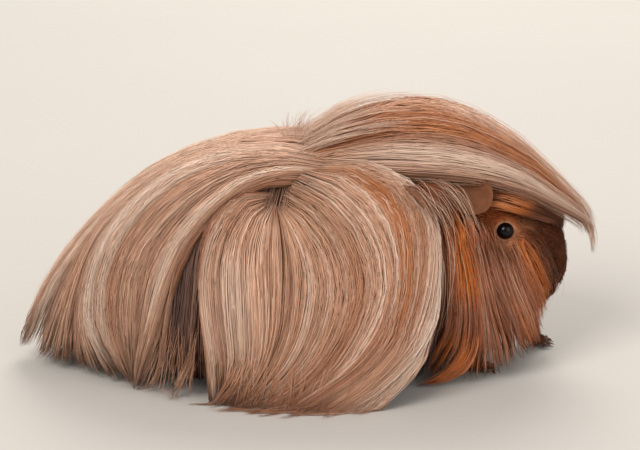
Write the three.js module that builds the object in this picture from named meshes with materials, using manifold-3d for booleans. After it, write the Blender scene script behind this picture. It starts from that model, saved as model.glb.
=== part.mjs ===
// An adult longhaired guinea pig, life size, crouching still with its coat combed out.
// Its forelock sweeps forward over the brow, and its side coat and train fall from a parting on
// the back down to the floor. It has no tail. Millimetres, +Z up, +X towards the nose.
import * as THREE from "three";
import { mergeVertices } from "three/addons/utils/BufferGeometryUtils.js";
import Module from "manifold-3d";

const wasm = await Module();
wasm.setup();

// ---------------------------------------------------------------- driving sizes
const GAP = 0.3; // clearance between neighbouring pieces
const EYE_RADIUS = 5; // the eyeball, of which about half shows
const EYE_BULGE = 2.3; // how far it stands out of the cheek
const EYE_X = 102.4;
const EYE_Z = 77.4;
const EAR_LENGTH = 21; // from root to rim
const EAR_WIDTH = 24;
const EAR_THICKNESS = 2;
const NECK_BACK = 46; // where the trunk ends and the neck begins
const NECK_FRONT = 70; // where the neck ends and the head begins
const FORE_Y = 19; // how far each forefoot stands from the middle
const HIND_Y = 29;
const ELBOW_X = 88; // how far forward the elbow of a reaching foreleg lies
const TRAIN_START = -88; // where the side coat ends and the train begins
const HEM_INSET = 16; // thickness of the hanging coat at the hem
const HOLLOW_BACK = -96; // the hollow under the belly, back to front
const HOLLOW_FRONT = 34;
const HOLLOW_TOP = 30;
const FORELOCK_LOCKS = 9; // broad locks round the forelock
const LOCK_PITCH = 21; // width of one broad lock of the side coat
const LOCK_RELIEF = 1.7; // how far a lock stands out of the coat
const LOCK_LEAN = 0.35; // how much the locks lean back on their way down
const FAR = 400; // half side of a cutting block
const BELOW = 4; // how far a cutting block reaches under the floor

// Body under the long coat: x, top, bottom and half width of each section, rump to nose.
const FLESH = [
  [-110, 46, 46, 0],
  [-107, 64, 27, 18],
  [-98, 83, 15, 33],
  [-78, 99, 10, 45],
  [-45, 110, 9, 52],
  [-5, 114, 9, 54],
  [32, 112, 10, 49],
  [54, 108, 13, 39],
  [72, 105, 17, 32.5],
  [89, 103, 20, 29.5],
  [103, 98, 25, 26.5],
  [115, 91.5, 29, 21.5],
  [125, 84.5, 32.5, 16.5],
  [132.3, 76, 39, 12],
  [136.2, 66.5, 47.5, 7.5],
  [137, 57, 57, 0],
];

// Coat over the back and flanks down to the floor: x, top and half width, train to shoulder.
const COAT = [
  [-150.5, 0, 0],
  [-148, 13, 7.5],
  [-141, 31, 15.5],
  [-130, 49.5, 26],
  [-110, 75, 42],
  [-80, 101, 59],
  [-40, 118, 68],
  [0, 123, 75],
  [28, 122.5, 75.5],
  [52, 117, 69],
  [66, 109, 61],
  [78, 80, 44],
  [84, 0, 0],
];
const TUCK_START = -50; // behind this the hem is drawn in under the coat

// Forelock, raised over the neck and swept forward to a point: x, top, bottom and half width.
const FORELOCK = [
  [11, 119, 119, 0],
  [17, 125.5, 110, 15],
  [30, 135, 105, 26],
  [48, 139.5, 103, 31],
  [66, 139, 102.5, 33],
  [82, 134.5, 102, 32],
  [98, 125.5, 99.5, 28],
  [113, 115, 94, 21.5],
  [127, 100.5, 86.5, 14],
  [139, 88, 80, 7.5],
  [146, 80, 74.5, 3.5],
  [149, 69, 69, 0],
];

// Front edge of the side coat, seen from the side, from the back down to the hem: x and z.
const COAT_FRONT = [
  [50, 130],
  [56, 112],
  [65.5, 91],
  [67.5, 62],
  [60.5, 34],
  [48, 12],
  [35, -2],
];

// Cheek hair hanging beside the throat: z, back, front, inner side and outer side.
const CHEEK_HAIR = [
  [-3, 82, 82, 27, 27],
  [-2.5, 68, 98, 23, 32],
  [4, 63, 102, 21, 34],
  [20, 62, 111, 18, 36.5],
  [36, 65, 118, 16, 36],
  [52, 68, 117, 15, 34],
  [64, 74, 107, 18, 31],
  [68, 88, 88, 25, 25],
];

// ---------------------------------------------------------------- shared shapes
// A smooth line through rows of values, read by the row's number.
function smoothRows(rows) {
  const order = Float32Array.from(rows, (_, i) => i);
  return new THREE.CubicInterpolant(order, Float32Array.from(rows.flat()), rows[0].length);
}

// The same, read by each row's first value.
function smoothByFirst(rows) {
  const first = Float32Array.from(rows, (row) => row[0]);
  return new THREE.CubicInterpolant(first, Float32Array.from(rows.flat()), rows[0].length);
}

// A closed surface made from a sphere whose points are placed by how far they lie round it and
// along it, from its first pole to its last.
function wrapped(sides, rings, place) {
  const geometry = new THREE.SphereGeometry(1, sides, rings);
  const uv = geometry.attributes.uv;
  const position = geometry.attributes.position;
  for (let i = 0; i < uv.count; i += 1) {
    const along = uv.getY(i);
    const pole = along < 1e-6 || along > 1 - 1e-6;
    const point = place(pole ? 0 : uv.getX(i) % 1, along);
    position.setXYZ(i, point.x, point.y, point.z);
  }
  geometry.deleteAttribute("normal");
  geometry.deleteAttribute("uv");
  return toSolid(geometry);
}

function toSolid(geometry) {
  const merged = mergeVertices(geometry, 1e-4);
  const vertProperties = merged.attributes.position.array;
  const triVerts = new Uint32Array(merged.index.array);
  return new wasm.Manifold(new wasm.Mesh({ numProp: 3, vertProperties, triVerts }));
}

function plain(geometry) {
  geometry.deleteAttribute("normal");
  geometry.deleteAttribute("uv");
  return toSolid(geometry);
}

const bent = (value, power) => Math.sign(value) * Math.abs(value) ** power;

// A body lofted through oval sections along X. Grow makes it that much larger all round, and
// locks raises that many ridges along it, which die out at both ends.
function loft(rows, { sides, rings, waist = 0.45, boxy = 0.9, grow = 0, locks = 0 }) {
  const line = smoothRows(rows);
  const last = rows.length - 1;
  const middle = (rows[0][0] + rows[last][0]) / 2;
  const reach = (rows[last][0] - rows[0][0]) / 2;
  return wrapped(sides, rings, (around, along) => {
    const [x, top, bottom, half] = line.evaluate(along * last);
    const ridge = locks ? -LOCK_RELIEF * Math.cos(2 * Math.PI * around * locks) : 0;
    const open = along > 0 && along < 1 ? grow + ridge * Math.sin(Math.PI * along) : 0;
    const up = -Math.cos(2 * Math.PI * around);
    const level = bottom + waist * (top - bottom);
    const height = up > 0 ? top + open - level : level - bottom + open;
    const out = Math.max(half, 0) + open;
    return new THREE.Vector3(
      x + (grow * (x - middle)) / reach,
      out * bent(Math.sin(2 * Math.PI * around), boxy),
      level + height * bent(up, boxy),
    );
  });
}

// A limb of oval sections round a smooth line of points, each with its half width and height.
function limb(points, sizes, { sides, rings, grow = 0 }) {
  const path = new THREE.CatmullRomCurve3(points.map((p) => new THREE.Vector3(...p)));
  const line = smoothRows(sizes);
  return wrapped(sides, rings, (around, along) => {
    const centre = path.getPoint(along);
    const ahead = path.getTangent(along);
    const side = new THREE.Vector3(0, 1, 0).addScaledVector(ahead, -ahead.y).normalize();
    const up = new THREE.Vector3().crossVectors(ahead, side);
    const open = along > 0 && along < 1 ? grow : 0;
    const [half, height] = line.evaluate(along * (sizes.length - 1));
    const turn = 2 * Math.PI * around;
    return centre
      .addScaledVector(side, (Math.max(half, 0) + open) * Math.sin(turn))
      .addScaledVector(up, -(Math.max(height, 0) + open) * Math.cos(turn));
  });
}

function block(x0, x1, y0, y1, z0, z1) {
  const geometry = new THREE.BoxGeometry(x1 - x0, y1 - y0, z1 - z0);
  geometry.translate((x0 + x1) / 2, (y0 + y1) / 2, (z0 + z1) / 2);
  return plain(geometry);
}

const aboveFloor = (solid) => solid.intersect(block(-FAR, FAR, -FAR, FAR, 0, FAR));

function toMesh(name, solid, material) {
  const { vertProperties, triVerts } = solid.getMesh();
  const geometry = new THREE.BufferGeometry();
  geometry.setAttribute("position", new THREE.BufferAttribute(vertProperties, 3));
  geometry.setIndex(new THREE.BufferAttribute(triVerts, 1));
  geometry.computeVertexNormals();
  const mesh = new THREE.Mesh(geometry, material);
  mesh.name = name;
  return mesh;
}

const finish = (color, roughness) =>
  new THREE.MeshStandardMaterial({ color, roughness, metalness: 0 });
const fawn = finish("#c39a7a", 0.55);
const umber = finish("#6b3a22", 0.7);
const russet = finish("#8a4f30", 0.65);
const earSkin = finish("#95685a", 0.6);
const eyeGloss = finish("#0b0a0c", 0.08);

// ---------------------------------------------------------------- body, neck and head
const fleshShape = (grow) => loft(FLESH, { sides: 20, rings: 30, waist: 0.42, grow });
const flesh = fleshShape(0);
const fleshRoom = fleshShape(GAP);
const slice = (x0, x1) => block(x0, x1, -FAR, FAR, -FAR, FAR);
const trunk = flesh.intersect(slice(-FAR, NECK_BACK - GAP / 2));
const neck = flesh.intersect(slice(NECK_BACK + GAP / 2, NECK_FRONT - GAP / 2));

// Half width of the head where the eye lies, read off a thin slice of it.
function halfWidthAt(x, z) {
  const probe = flesh.intersect(block(x - 0.5, x + 0.5, 0, FAR, z - 0.5, z + 0.5));
  return probe.boundingBox().max[1];
}

const eyeY = halfWidthAt(EYE_X, EYE_Z) - EYE_RADIUS + EYE_BULGE;
const eyeBall = (side, grow) => {
  const geometry = new THREE.SphereGeometry(EYE_RADIUS + grow, 12, 8);
  geometry.rotateX(Math.PI / 2);
  geometry.translate(EYE_X, side * eyeY, EYE_Z);
  return plain(geometry);
};
const head = flesh
  .intersect(slice(NECK_FRONT + GAP / 2, FAR))
  .subtract(eyeBall(1, GAP))
  .subtract(eyeBall(-1, GAP));

// ---------------------------------------------------------------- ears
// A drooping petal with a rounded rim, cupped towards the cheek and rooted above and behind
// the eye. It hangs outwards and forwards.
function ear(side) {
  const root = new THREE.Vector3(79.5, side * 22.5, 103);
  const fall = new THREE.Vector3(0.42, side * 0.64, -0.64).normalize();
  const spread = new THREE.Vector3(0.86, side * 0.1, 0.5).normalize();
  const out = new THREE.Vector3().crossVectors(spread, fall).multiplyScalar(-side).normalize();
  const cup = 5;
  return wrapped(14, 8, (around, along) => {
    const turn = 2 * Math.PI * around * side;
    const thick = Math.cos(Math.PI * along);
    const rim = Math.sin(Math.PI * along);
    const across = rim * Math.sin(turn);
    const down = 0.5 - 0.5 * rim * Math.cos(turn);
    const width = (EAR_WIDTH / 2) * (0.72 + 0.55 * down - 0.27 * down * down);
    const bow = cup * (across * across - 0.5) - 0.6 * cup * down * down;
    return root
      .clone()
      .addScaledVector(fall, EAR_LENGTH * down)
      .addScaledVector(spread, width * across)
      .addScaledVector(out, -bow + (EAR_THICKNESS / 2) * thick);
  });
}

// ---------------------------------------------------------------- legs and feet
// Toes fan out from the front of a foot, each ending in a blunt claw.
function toes(front, count, spread, length) {
  const parts = [];
  for (let i = 0; i < count; i += 1) {
    const fan = (i - (count - 1) / 2) / (count - 1);
    const y = front[1] + fan * spread;
    const forward = length * (1 - 0.5 * fan * fan);
    const tip = [front[0] + forward, y + fan * 2.4, 1.8];
    parts.push(
      limb(
        [[front[0] - 3, y, 2.6], [front[0] + forward * 0.55, y + fan, 3.1], tip],
        [[0, 0], [2.5, 2.6], [2.3, 2.2], [0, 0]],
        { sides: 5, rings: 4 },
      ),
      limb(
        [
          [tip[0] - 1.6, tip[1], 2.1],
          [tip[0] + 1.2, tip[1] + fan * 0.6, 2.2],
          [tip[0] + 4, tip[1] + fan, 0.7],
        ],
        [[0, 0], [1, 1.1], [0.6, 0.7], [0, 0]],
        { sides: 4, rings: 3 },
      ),
    );
  }
  return parts;
}

// The forearm on one side, down to a flat paw whose toes reach the x given.
function forearm(side, toeX, grow) {
  const y = side * FORE_Y;
  const line = [
    [Math.min(ELBOW_X, toeX - 14), side * 17, 40],
    [toeX - 22, y, 28],
    [toeX - 14, y, 15],
    [toeX - 9, y, 4.4],
    [toeX - 2, y, 1.8],
  ];
  const sizes = [[0, 0], [10, 10], [9, 9], [7.4, 7.2], [6.8, 4.8], [0, 0]];
  return limb(line, sizes, { sides: 8, rings: 7, grow });
}

function foreleg(side, toeX) {
  const paw = toes([toeX - 9, side * FORE_Y], 4, 9, 8);
  return aboveFloor(wasm.Manifold.union([forearm(side, toeX, 0), ...paw]));
}

// The space that a foreleg takes, with its clearance.
function forelegRoom(side, toeX) {
  const inner = side * (FORE_Y - 9);
  const outer = side * (FORE_Y + 9);
  const [low, high] = [Math.min(inner, outer), Math.max(inner, outer)];
  const paw = block(toeX - 22, toeX + 5, low, high, -BELOW, 7);
  return forearm(side, toeX, GAP).add(paw);
}

// The hind leg on one side: a short shank and a long flat foot.
function hindleg(side) {
  const y = side * HIND_Y;
  const line = [
    [-58, side * 27, 26],
    [-62, y, 13],
    [-60, y, 5],
    [-44, y, 3.4],
    [-30, y, 2.6],
  ];
  const sizes = [[0, 0], [10, 9], [7, 7], [6, 5.5], [6.8, 4.4], [6, 3.4], [0, 0]];
  const shank = limb(line, sizes, { sides: 8, rings: 8 });
  const foot = toes([-35, y], 3, 8, 9);
  return aboveFloor(wasm.Manifold.union([shank, ...foot]));
}

const TOE_REACH = { left: 131, right: 98 }; // the left forefoot stands ahead of the right
const legs = {
  foreleg_left: foreleg(1, TOE_REACH.left),
  foreleg_right: foreleg(-1, TOE_REACH.right),
  hindleg_left: hindleg(1),
  hindleg_right: hindleg(-1),
};
for (const name of Object.keys(legs)) legs[name] = legs[name].subtract(fleshRoom);

// ---------------------------------------------------------------- forelock
const forelockShape = (grow) =>
  loft(FORELOCK, {
    sides: FORELOCK_LOCKS * 2,
    rings: 16,
    waist: 0.3,
    grow,
    locks: FORELOCK_LOCKS,
  });
const forelock = forelockShape(0).subtract(fleshRoom);
const forelockRoom = forelockShape(GAP);

// ---------------------------------------------------------------- side coat and train
// The coat's outer face: a bell-shaped arch over the back that meets the floor, raised in
// broad locks that lean back as they fall.
function coatShape() {
  const line = smoothByFirst(COAT);
  const [start] = COAT[0];
  const [end] = COAT[COAT.length - 1];
  const stepsAround = 22;
  const floorShare = 2 / stepsAround; // two steps on each side lie flat on the floor
  return wrapped(stepsAround, 46, (around, along) => {
    const [x, tallest, widest] = line.evaluate(start + (end - start) * along);
    const top = Math.max(tallest, 0);
    const half = Math.max(widest, 0);
    const tuck = THREE.MathUtils.clamp((TUCK_START - x) / 200, 0, 0.35);
    const edge = Math.min(around, 1 - around) / floorShare;
    const side = around < 0.5 ? 1 : -1;
    if (edge < 1) return new THREE.Vector3(x, side * half * (1 - tuck) * edge, 0);
    const arch = ((around - floorShare) / (1 - 2 * floorShare)) * Math.PI;
    const rise = Math.max(Math.sin(arch), 0) ** 0.92;
    const low = 1 - rise;
    const phase = (2 * Math.PI * (x - LOCK_LEAN * top * low)) / LOCK_PITCH;
    const lock = LOCK_RELIEF * Math.sin(phase + side) * Math.min(1, low * 4);
    const flare = 1 + 0.05 * Math.sin(2 * Math.PI * rise) - tuck * low * low;
    const spread = Math.min(1, half / 20);
    return new THREE.Vector3(
      x,
      half * flare * bent(Math.cos(arch), 0.72) + side * lock * spread,
      top * rise,
    );
  });
}

// The side view of the side coat, as a slab that trims its front edge.
function coatOutline() {
  const edge = new THREE.SplineCurve(COAT_FRONT.map((p) => new THREE.Vector2(...p)));
  const outline = new THREE.Shape([
    new THREE.Vector2(-FAR, -2),
    new THREE.Vector2(-FAR, 130),
    ...edge.getPoints(16),
  ]);
  const geometry = new THREE.ExtrudeGeometry(outline, { depth: 2 * FAR, bevelEnabled: false });
  geometry.rotateX(Math.PI / 2);
  geometry.translate(0, FAR, 0);
  return plain(geometry);
}

// The hollow under the belly where the hind legs stand, inside a hem of even thickness.
function bellyHollow() {
  const line = smoothByFirst(COAT);
  const length = HOLLOW_FRONT - HOLLOW_BACK;
  const middle = (HOLLOW_FRONT + HOLLOW_BACK) / 2;
  const outline = new THREE.Shape();
  const corners = 16;
  for (let i = 0; i < corners; i += 1) {
    const turn = (2 * Math.PI * (i + 0.5)) / corners;
    const x = middle + (length / 2) * bent(Math.cos(turn), 0.6);
    const half = (line.evaluate(x)[2] - HEM_INSET) * bent(Math.sin(turn), 0.6);
    if (i === 0) outline.moveTo(x, half);
    else outline.lineTo(x, half);
  }
  outline.closePath();
  const depth = HOLLOW_TOP + BELOW;
  const geometry = new THREE.ExtrudeGeometry(outline, { depth, bevelEnabled: false });
  geometry.translate(0, 0, -BELOW);
  return plain(geometry);
}

const coat = coatShape()
  .intersect(coatOutline())
  .subtract(fleshRoom)
  .subtract(forelockRoom)
  .subtract(bellyHollow());
const sweep = (side) =>
  coat.intersect(
    block(
      TRAIN_START + GAP / 2,
      FAR,
      side > 0 ? GAP / 2 : -FAR,
      side > 0 ? FAR : -GAP / 2,
      -FAR,
      FAR,
    ),
  );
const train = coat.intersect(slice(-FAR, TRAIN_START - GAP / 2));

// ---------------------------------------------------------------- cheek hair
// Upright lofted locks beside the throat, cut clear of the head, the legs and the side coat.
function cheekHair(side) {
  const line = smoothRows(CHEEK_HAIR);
  const last = CHEEK_HAIR.length - 1;
  const hanging = wrapped(16, 8, (around, along) => {
    const [z, back, front, inner, outer] = line.evaluate(along * last);
    const turn = 2 * Math.PI * around;
    const fore = bent(Math.sin(turn), 0.9);
    const outward = -side * bent(Math.cos(turn), 0.9);
    const lock = LOCK_RELIEF * Math.sin(Math.PI * along) * Math.cos(3 * Math.PI * fore);
    return new THREE.Vector3(
      (back + front) / 2 + ((front - back) / 2) * fore,
      side * ((inner + outer) / 2 + ((outer - inner) / 2) * outward + lock * Math.max(outward, 0)),
      z,
    );
  });
  const toeX = side > 0 ? TOE_REACH.left : TOE_REACH.right;
  return aboveFloor(hanging).subtract(fleshRoom).subtract(forelegRoom(side, toeX));
}

// ---------------------------------------------------------------- the whole animal
const guineaPig = new THREE.Group();
const headGroup = new THREE.Group();
guineaPig.add(headGroup);
guineaPig.add(toMesh("trunk", trunk, fawn));
guineaPig.add(toMesh("neck", neck, umber));
headGroup.add(toMesh("head", head, umber));
for (const [label, side] of [["left", 1], ["right", -1]]) {
  headGroup.add(toMesh(`eye_${label}`, eyeBall(side, 0), eyeGloss));
  const petal = ear(side).subtract(fleshRoom).subtract(forelockRoom);
  headGroup.add(toMesh(`ear_${label}`, petal, earSkin));
  headGroup.add(toMesh(`cheek_hair_${label}`, cheekHair(side), russet));
  guineaPig.add(toMesh(`sweep_${label}`, sweep(side), fawn));
}
for (const [name, solid] of Object.entries(legs)) guineaPig.add(toMesh(name, solid, umber));
headGroup.add(toMesh("forelock", forelock, fawn));
guineaPig.add(toMesh("train", train, fawn));

// The origin is on the floor under the middle of the whole animal.
const whole = new THREE.Box3().setFromObject(guineaPig, true);
const centre = whole.getCenter(new THREE.Vector3());
guineaPig.position.set(-centre.x, -centre.y, -whole.min.z);

export default guineaPig;
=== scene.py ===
import math

import bpy
import numpy as np
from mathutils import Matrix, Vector


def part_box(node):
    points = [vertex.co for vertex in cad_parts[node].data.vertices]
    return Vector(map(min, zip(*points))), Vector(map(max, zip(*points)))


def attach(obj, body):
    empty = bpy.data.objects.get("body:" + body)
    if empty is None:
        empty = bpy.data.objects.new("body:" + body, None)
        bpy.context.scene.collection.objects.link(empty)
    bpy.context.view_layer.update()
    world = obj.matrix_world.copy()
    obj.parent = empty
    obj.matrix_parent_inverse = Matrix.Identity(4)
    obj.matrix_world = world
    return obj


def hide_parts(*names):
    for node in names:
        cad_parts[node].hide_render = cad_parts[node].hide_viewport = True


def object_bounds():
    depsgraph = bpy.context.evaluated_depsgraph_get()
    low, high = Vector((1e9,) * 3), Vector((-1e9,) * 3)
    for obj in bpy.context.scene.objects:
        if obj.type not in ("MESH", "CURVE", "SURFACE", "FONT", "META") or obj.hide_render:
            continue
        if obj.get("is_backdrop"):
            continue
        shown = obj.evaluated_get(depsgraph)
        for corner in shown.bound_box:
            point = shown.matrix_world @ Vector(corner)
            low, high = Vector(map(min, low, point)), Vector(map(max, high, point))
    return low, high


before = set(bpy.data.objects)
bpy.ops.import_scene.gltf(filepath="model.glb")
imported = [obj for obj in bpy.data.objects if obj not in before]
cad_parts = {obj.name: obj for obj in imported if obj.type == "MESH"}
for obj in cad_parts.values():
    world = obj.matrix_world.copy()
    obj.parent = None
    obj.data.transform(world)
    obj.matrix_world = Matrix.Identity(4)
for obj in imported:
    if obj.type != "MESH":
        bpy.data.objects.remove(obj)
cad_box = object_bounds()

# ------------------------------------------------------------------ camera, light and floor
# A lens far off on a tripod, looking a little down at the animal's right side. Soft boxes light
# it from the upper left and the right, and a third from behind picks out the edge of the coat.
AIM = Vector((0.00855, 0.0, 0.0733))
DISTANCE = 1.3
ELEVATION = math.radians(18)
LENS = 140.6  # mm, on a 36 mm wide sensor
KEY_LIGHT = dict(place=(-0.9, -1.3, 1.5), width=1.1, watts=36, colour="#fff6ec")
FILL_LIGHT = dict(place=(1.3, -1.1, 0.8), width=1.3, watts=11, colour="#fdf6ee")
EDGE_LIGHT = dict(place=(0.2, 1.3, 1.3), width=1.2, watts=26, colour="#fff6ea")
ROOM_LIGHT = 0.55
FLOOR_RADIUS = 6.0
FLOOR_DROP = 0.0002  # below the soles, which keeps nearly all the hair out of the paint


def linear(hex_colour):
    """The linear colour of an sRGB hex value."""
    parts = [int(hex_colour[i : i + 2], 16) / 255 for i in (1, 3, 5)]
    plain = [c / 12.92 if c <= 0.04045 else ((c + 0.055) / 1.055) ** 2.4 for c in parts]
    return (*plain, 1.0)


def add_node(tree, kind, links=None, values=None, **settings):
    """A node with its settings, the constants on its sockets, and the links into them."""
    node = tree.nodes.new(kind)
    for name, value in settings.items():
        setattr(node, name, value)
    for socket, value in (values or {}).items():
        node.inputs[socket].default_value = value
    for socket, source in (links or {}).items():
        tree.links.new(source, node.inputs[socket])
    return node


def new_material(name):
    """An empty material, its tree, and its output node."""
    material = bpy.data.materials.new(name)
    material.use_nodes = True
    tree = material.node_tree
    tree.nodes.clear()
    return material, tree, add_node(tree, "ShaderNodeOutputMaterial")


scene = bpy.context.scene
scene.view_settings.view_transform = "Standard"
bpy.ops.object.camera_add(
    location=AIM + DISTANCE * Vector((0, -math.cos(ELEVATION), math.sin(ELEVATION))),
    rotation=(math.pi / 2 - ELEVATION, 0, 0),
)
scene.camera = bpy.context.object
scene.camera.name = "camera"
scene.camera.data.lens = LENS
scene.camera.data.clip_end = 5 * FLOOR_RADIUS

for light_name, light in (("key", KEY_LIGHT), ("fill", FILL_LIGHT), ("edge", EDGE_LIGHT)):
    bpy.ops.object.light_add(type="AREA", location=light["place"])
    lamp = bpy.context.object
    lamp.name = light_name
    lamp.rotation_euler = (AIM - lamp.location).to_track_quat("-Z", "Y").to_euler()
    lamp.data.size = light["width"]
    lamp.data.energy = light["watts"]
    lamp.data.color = linear(light["colour"])[:3]

# The room: an even pale grey from everywhere.
world = bpy.data.worlds.new("pale room")
world.use_nodes = True
room = world.node_tree.nodes["Background"]
room.inputs["Color"].default_value = linear("#e8e7e6")
room.inputs["Strength"].default_value = ROOM_LIGHT
scene.world = world

# Painted floor: matt emulsion, so it shows no reflection, only a soft shadow.
floor_paint, tree, output = new_material("matt floor paint")
place = add_node(tree, "ShaderNodeTexCoord")
mottle = add_node(
    tree, "ShaderNodeTexNoise", {"Vector": place.outputs["Object"]}, {"Scale": 3.0, "Detail": 3.0}
)
tint = add_node(
    tree,
    "ShaderNodeMix",
    {"Factor": mottle.outputs["Fac"]},
    {"A": linear("#bcbab6"), "B": linear("#c2c0bd")},
    data_type="RGBA",
)
paint = add_node(
    tree, "ShaderNodeBsdfPrincipled", {"Base Color": tint.outputs["Result"]}, {"Roughness": 0.85}
)
tree.links.new(paint.outputs[0], output.inputs["Surface"])

bpy.ops.object.select_all(action="DESELECT")
bpy.ops.mesh.primitive_circle_add(
    vertices=96, radius=FLOOR_RADIUS, fill_type="NGON", location=(0, 0, -FLOOR_DROP)
)
floor = bpy.context.object
floor.name = "floor"
bpy.ops.object.transform_apply(location=True)
floor.data.materials.append(floor_paint)
floor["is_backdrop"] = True

# ------------------------------------------------------------------ skin
# One skin covers the body, neck, head and legs: soft hide under the coat, bare only at the
# nose, the lids and the ears. It is a copy of the solids, grown together, smoothed and sunk by
# the depth of the coat. Lids, nostrils and lips are pressed into it.
MM = 0.001
LEGS = ("foreleg_left", "foreleg_right", "hindleg_left", "hindleg_right")
SKIN_NODES = ("trunk", "neck", "head", *LEGS)
COAT_DEPTH = dict(body=3.5, face=0.8, legs=0.7)  # mm from the solids in to the skin
SEAM_GAP = 0.4  # mm, more than the clearance between two solids
SKIN_VOXEL = 1.5  # mm
SKIN_SMOOTHING = 6  # passes
EYE = np.array([sum(c) / 2 for c in zip(*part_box("eye_right"))]) / MM
EYE_RADIUS = 4.7  # mm
EYE_OPENING = 3.45  # mm, half the width of the socket
OPENING_RATIO = 0.94  # the socket's width over its height
SOCKET_DEPTH = 3.4  # mm
LID_WIDTH = 0.75
LID_RISE = 1.9
LID_LEVEL = 2.2  # mm, how far outside the eye's centre the lids' edge lies
LID_REACH = 6.2  # mm from the eye's centre, within which the lids are bare
NOSE_TIP = np.array([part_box("head")[1].x / MM - 2.6, 0.0, 54.0])
NOSTRIL = NOSE_TIP + (0.6, 3.1, -2.0)

# The markings of the coat, on skin and hair alike, and some painted shade: where each patch lies
# (x, outwards from the middle, z), its half sizes along each, and how strong it is. All in
# millimetres.
GINGER_PATCHES = [
    ((103, 27, 91), (12, 14, 9), 1.0),  # over the brow
    ((84, 36, 70), (9, 14, 14), 0.9),  # behind and below the ear
    ((111, 28, 74), (4, 9, 9), 0.55),  # before the eye
    ((115, 25, 58), (5, 12, 12), 1.0),  # down the cheek
    ((121, 20, 43), (5, 12, 11), 1.0),
    ((74, 34, 10), (16, 20, 12), 0.7),  # ends of the cheek hair
    ((96, 8, 28), (20, 14, 10), 0.4),  # throat
]
TAN_PATCHES = [
    ((108, 27, 71), (7, 12, 8), 1.0),  # under the eye
    ((116, 20, 82), (8, 12, 7), 0.35),  # bridge of the nose
    ((95, 33, 55), (10, 12, 16), 0.5),  # cheek
]
# Black: the dark muzzle, and painted shade at the mouth's corner, under the forelock's edge and in
# the hollow by the neck.
BLACK_AND_SHADE_PATCHES = [
    ((125, 15, 46), (7, 12, 9), 0.75),  # side of the mouth: the dark muzzle, and painted shade in the mouth's corner
    ((116, 20, 87.5), (9, 12, 2.0), 0.6),  # line before the brow: painted shadow of the forelock's edge
    ((78, 30, 92), (9, 12, 10), 0.6),  # behind the ear
    ((64, 40, 50), (9, 20, 50), 0.8),  # painted shade in the hollow between the neck and the side coat
]


def folded(points, side=1):
    """The points of both sides folded onto the left one, or with side -1 onto the right."""
    return np.stack([points[..., 0], side * np.abs(points[..., 1]), points[..., 2]], -1)


def patch_weight(points, patches):
    """How strongly each point lies in any of the patches, the same on both sides."""
    left = folded(points)
    clear = np.ones(points.shape[:-1])
    for centre, sizes, strength in patches:
        away = (((left - centre) / sizes) ** 2).sum(-1)
        clear *= 1 - strength * np.exp(-away)
    return 1 - clear


def face_marks(points, chance=0.5):
    """Marks of short fur at these points: ginger, tan, black with painted shade, and chance."""
    marks = [patch_weight(points, group) for group in (GINGER_PATCHES, TAN_PATCHES, BLACK_AND_SHADE_PATCHES)]
    return np.stack(marks + [np.broadcast_to(chance, marks[0].shape)], -1)


def read_points(mesh):
    """A mesh's points in millimetres, and the way out at each."""
    points = np.zeros(len(mesh.vertices) * 3)
    outward = np.zeros(len(mesh.vertices) * 3)
    mesh.vertices.foreach_get("co", points)
    mesh.vertices.foreach_get("normal", outward)
    return points.reshape(-1, 3) / MM, outward.reshape(-1, 3)


def write_points(mesh, points):
    mesh.vertices.foreach_set("co", (points * MM).ravel())
    mesh.update()


def set_marks(mesh, marks):
    """Keeps the four marks of each point on the mesh, for its material to read."""
    layer = mesh.attributes.new("marks", "FLOAT_COLOR", "POINT")
    layer.data.foreach_set("color", np.ascontiguousarray(marks, dtype=np.float32).ravel())


def apply_modifier(piece, kind, **settings):
    modifier = piece.modifiers.new(kind.lower(), kind)
    for name, value in settings.items():
        setattr(modifier, name, value)
    bpy.ops.object.modifier_apply(modifier=modifier.name)


def only(piece):
    """Makes this piece the one that is selected and active."""
    bpy.ops.object.select_all(action="DESELECT")
    piece.select_set(True)
    bpy.context.view_layer.objects.active = piece


def smooth_step(value, low, high):
    """0 up to low, 1 from high, and a soft curve between."""
    share = np.clip((value - low) / (high - low), 0, 1)
    return share * share * (3 - 2 * share)


def joined_copies(node_names, name):
    """One object holding copies of these solids, with each copy's shared points merged."""
    bpy.ops.object.select_all(action="DESELECT")
    for node_name in node_names:
        copy = bpy.data.objects.new(name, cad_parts[node_name].data.copy())
        scene.collection.objects.link(copy)
        copy.select_set(True)
        bpy.context.view_layer.objects.active = copy
    bpy.ops.object.join()
    piece = bpy.context.object
    piece.name = name
    piece.data.name = name
    piece.data.materials.clear()
    bpy.ops.object.mode_set(mode="EDIT")
    bpy.ops.mesh.select_all(action="SELECT")
    bpy.ops.mesh.remove_doubles(threshold=1e-6)
    bpy.ops.mesh.customdata_custom_splitnormals_clear()
    bpy.ops.object.mode_set(mode="OBJECT")
    return piece


skin = joined_copies(SKIN_NODES, "skin")
apply_modifier(skin, "DISPLACE", strength=SEAM_GAP * MM, mid_level=0)
apply_modifier(skin, "REMESH", mode="VOXEL", voxel_size=SKIN_VOXEL * MM)
apply_modifier(skin, "SMOOTH", factor=0.5, iterations=SKIN_SMOOTHING)

# The head needs points close enough together for its lids and nostrils, the muzzle most.
for low, high in (((92, -60, 30), (150, 60, 110)), ((120, -12, 32), (150, 12, 62))):
    bpy.ops.object.mode_set(mode="EDIT")
    bpy.ops.mesh.select_mode(type="FACE")
    bpy.ops.mesh.select_all(action="DESELECT")
    bpy.ops.object.mode_set(mode="OBJECT")
    centres = np.zeros(len(skin.data.polygons) * 3)
    skin.data.polygons.foreach_get("center", centres)
    centres = centres.reshape(-1, 3) / MM
    inside = ((centres > low) & (centres < high)).all(1)
    skin.data.polygons.foreach_set("select", inside)
    bpy.ops.object.mode_set(mode="EDIT")
    bpy.ops.mesh.subdivide(number_cuts=1, smoothness=0.5)
    bpy.ops.object.mode_set(mode="OBJECT")

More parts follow.
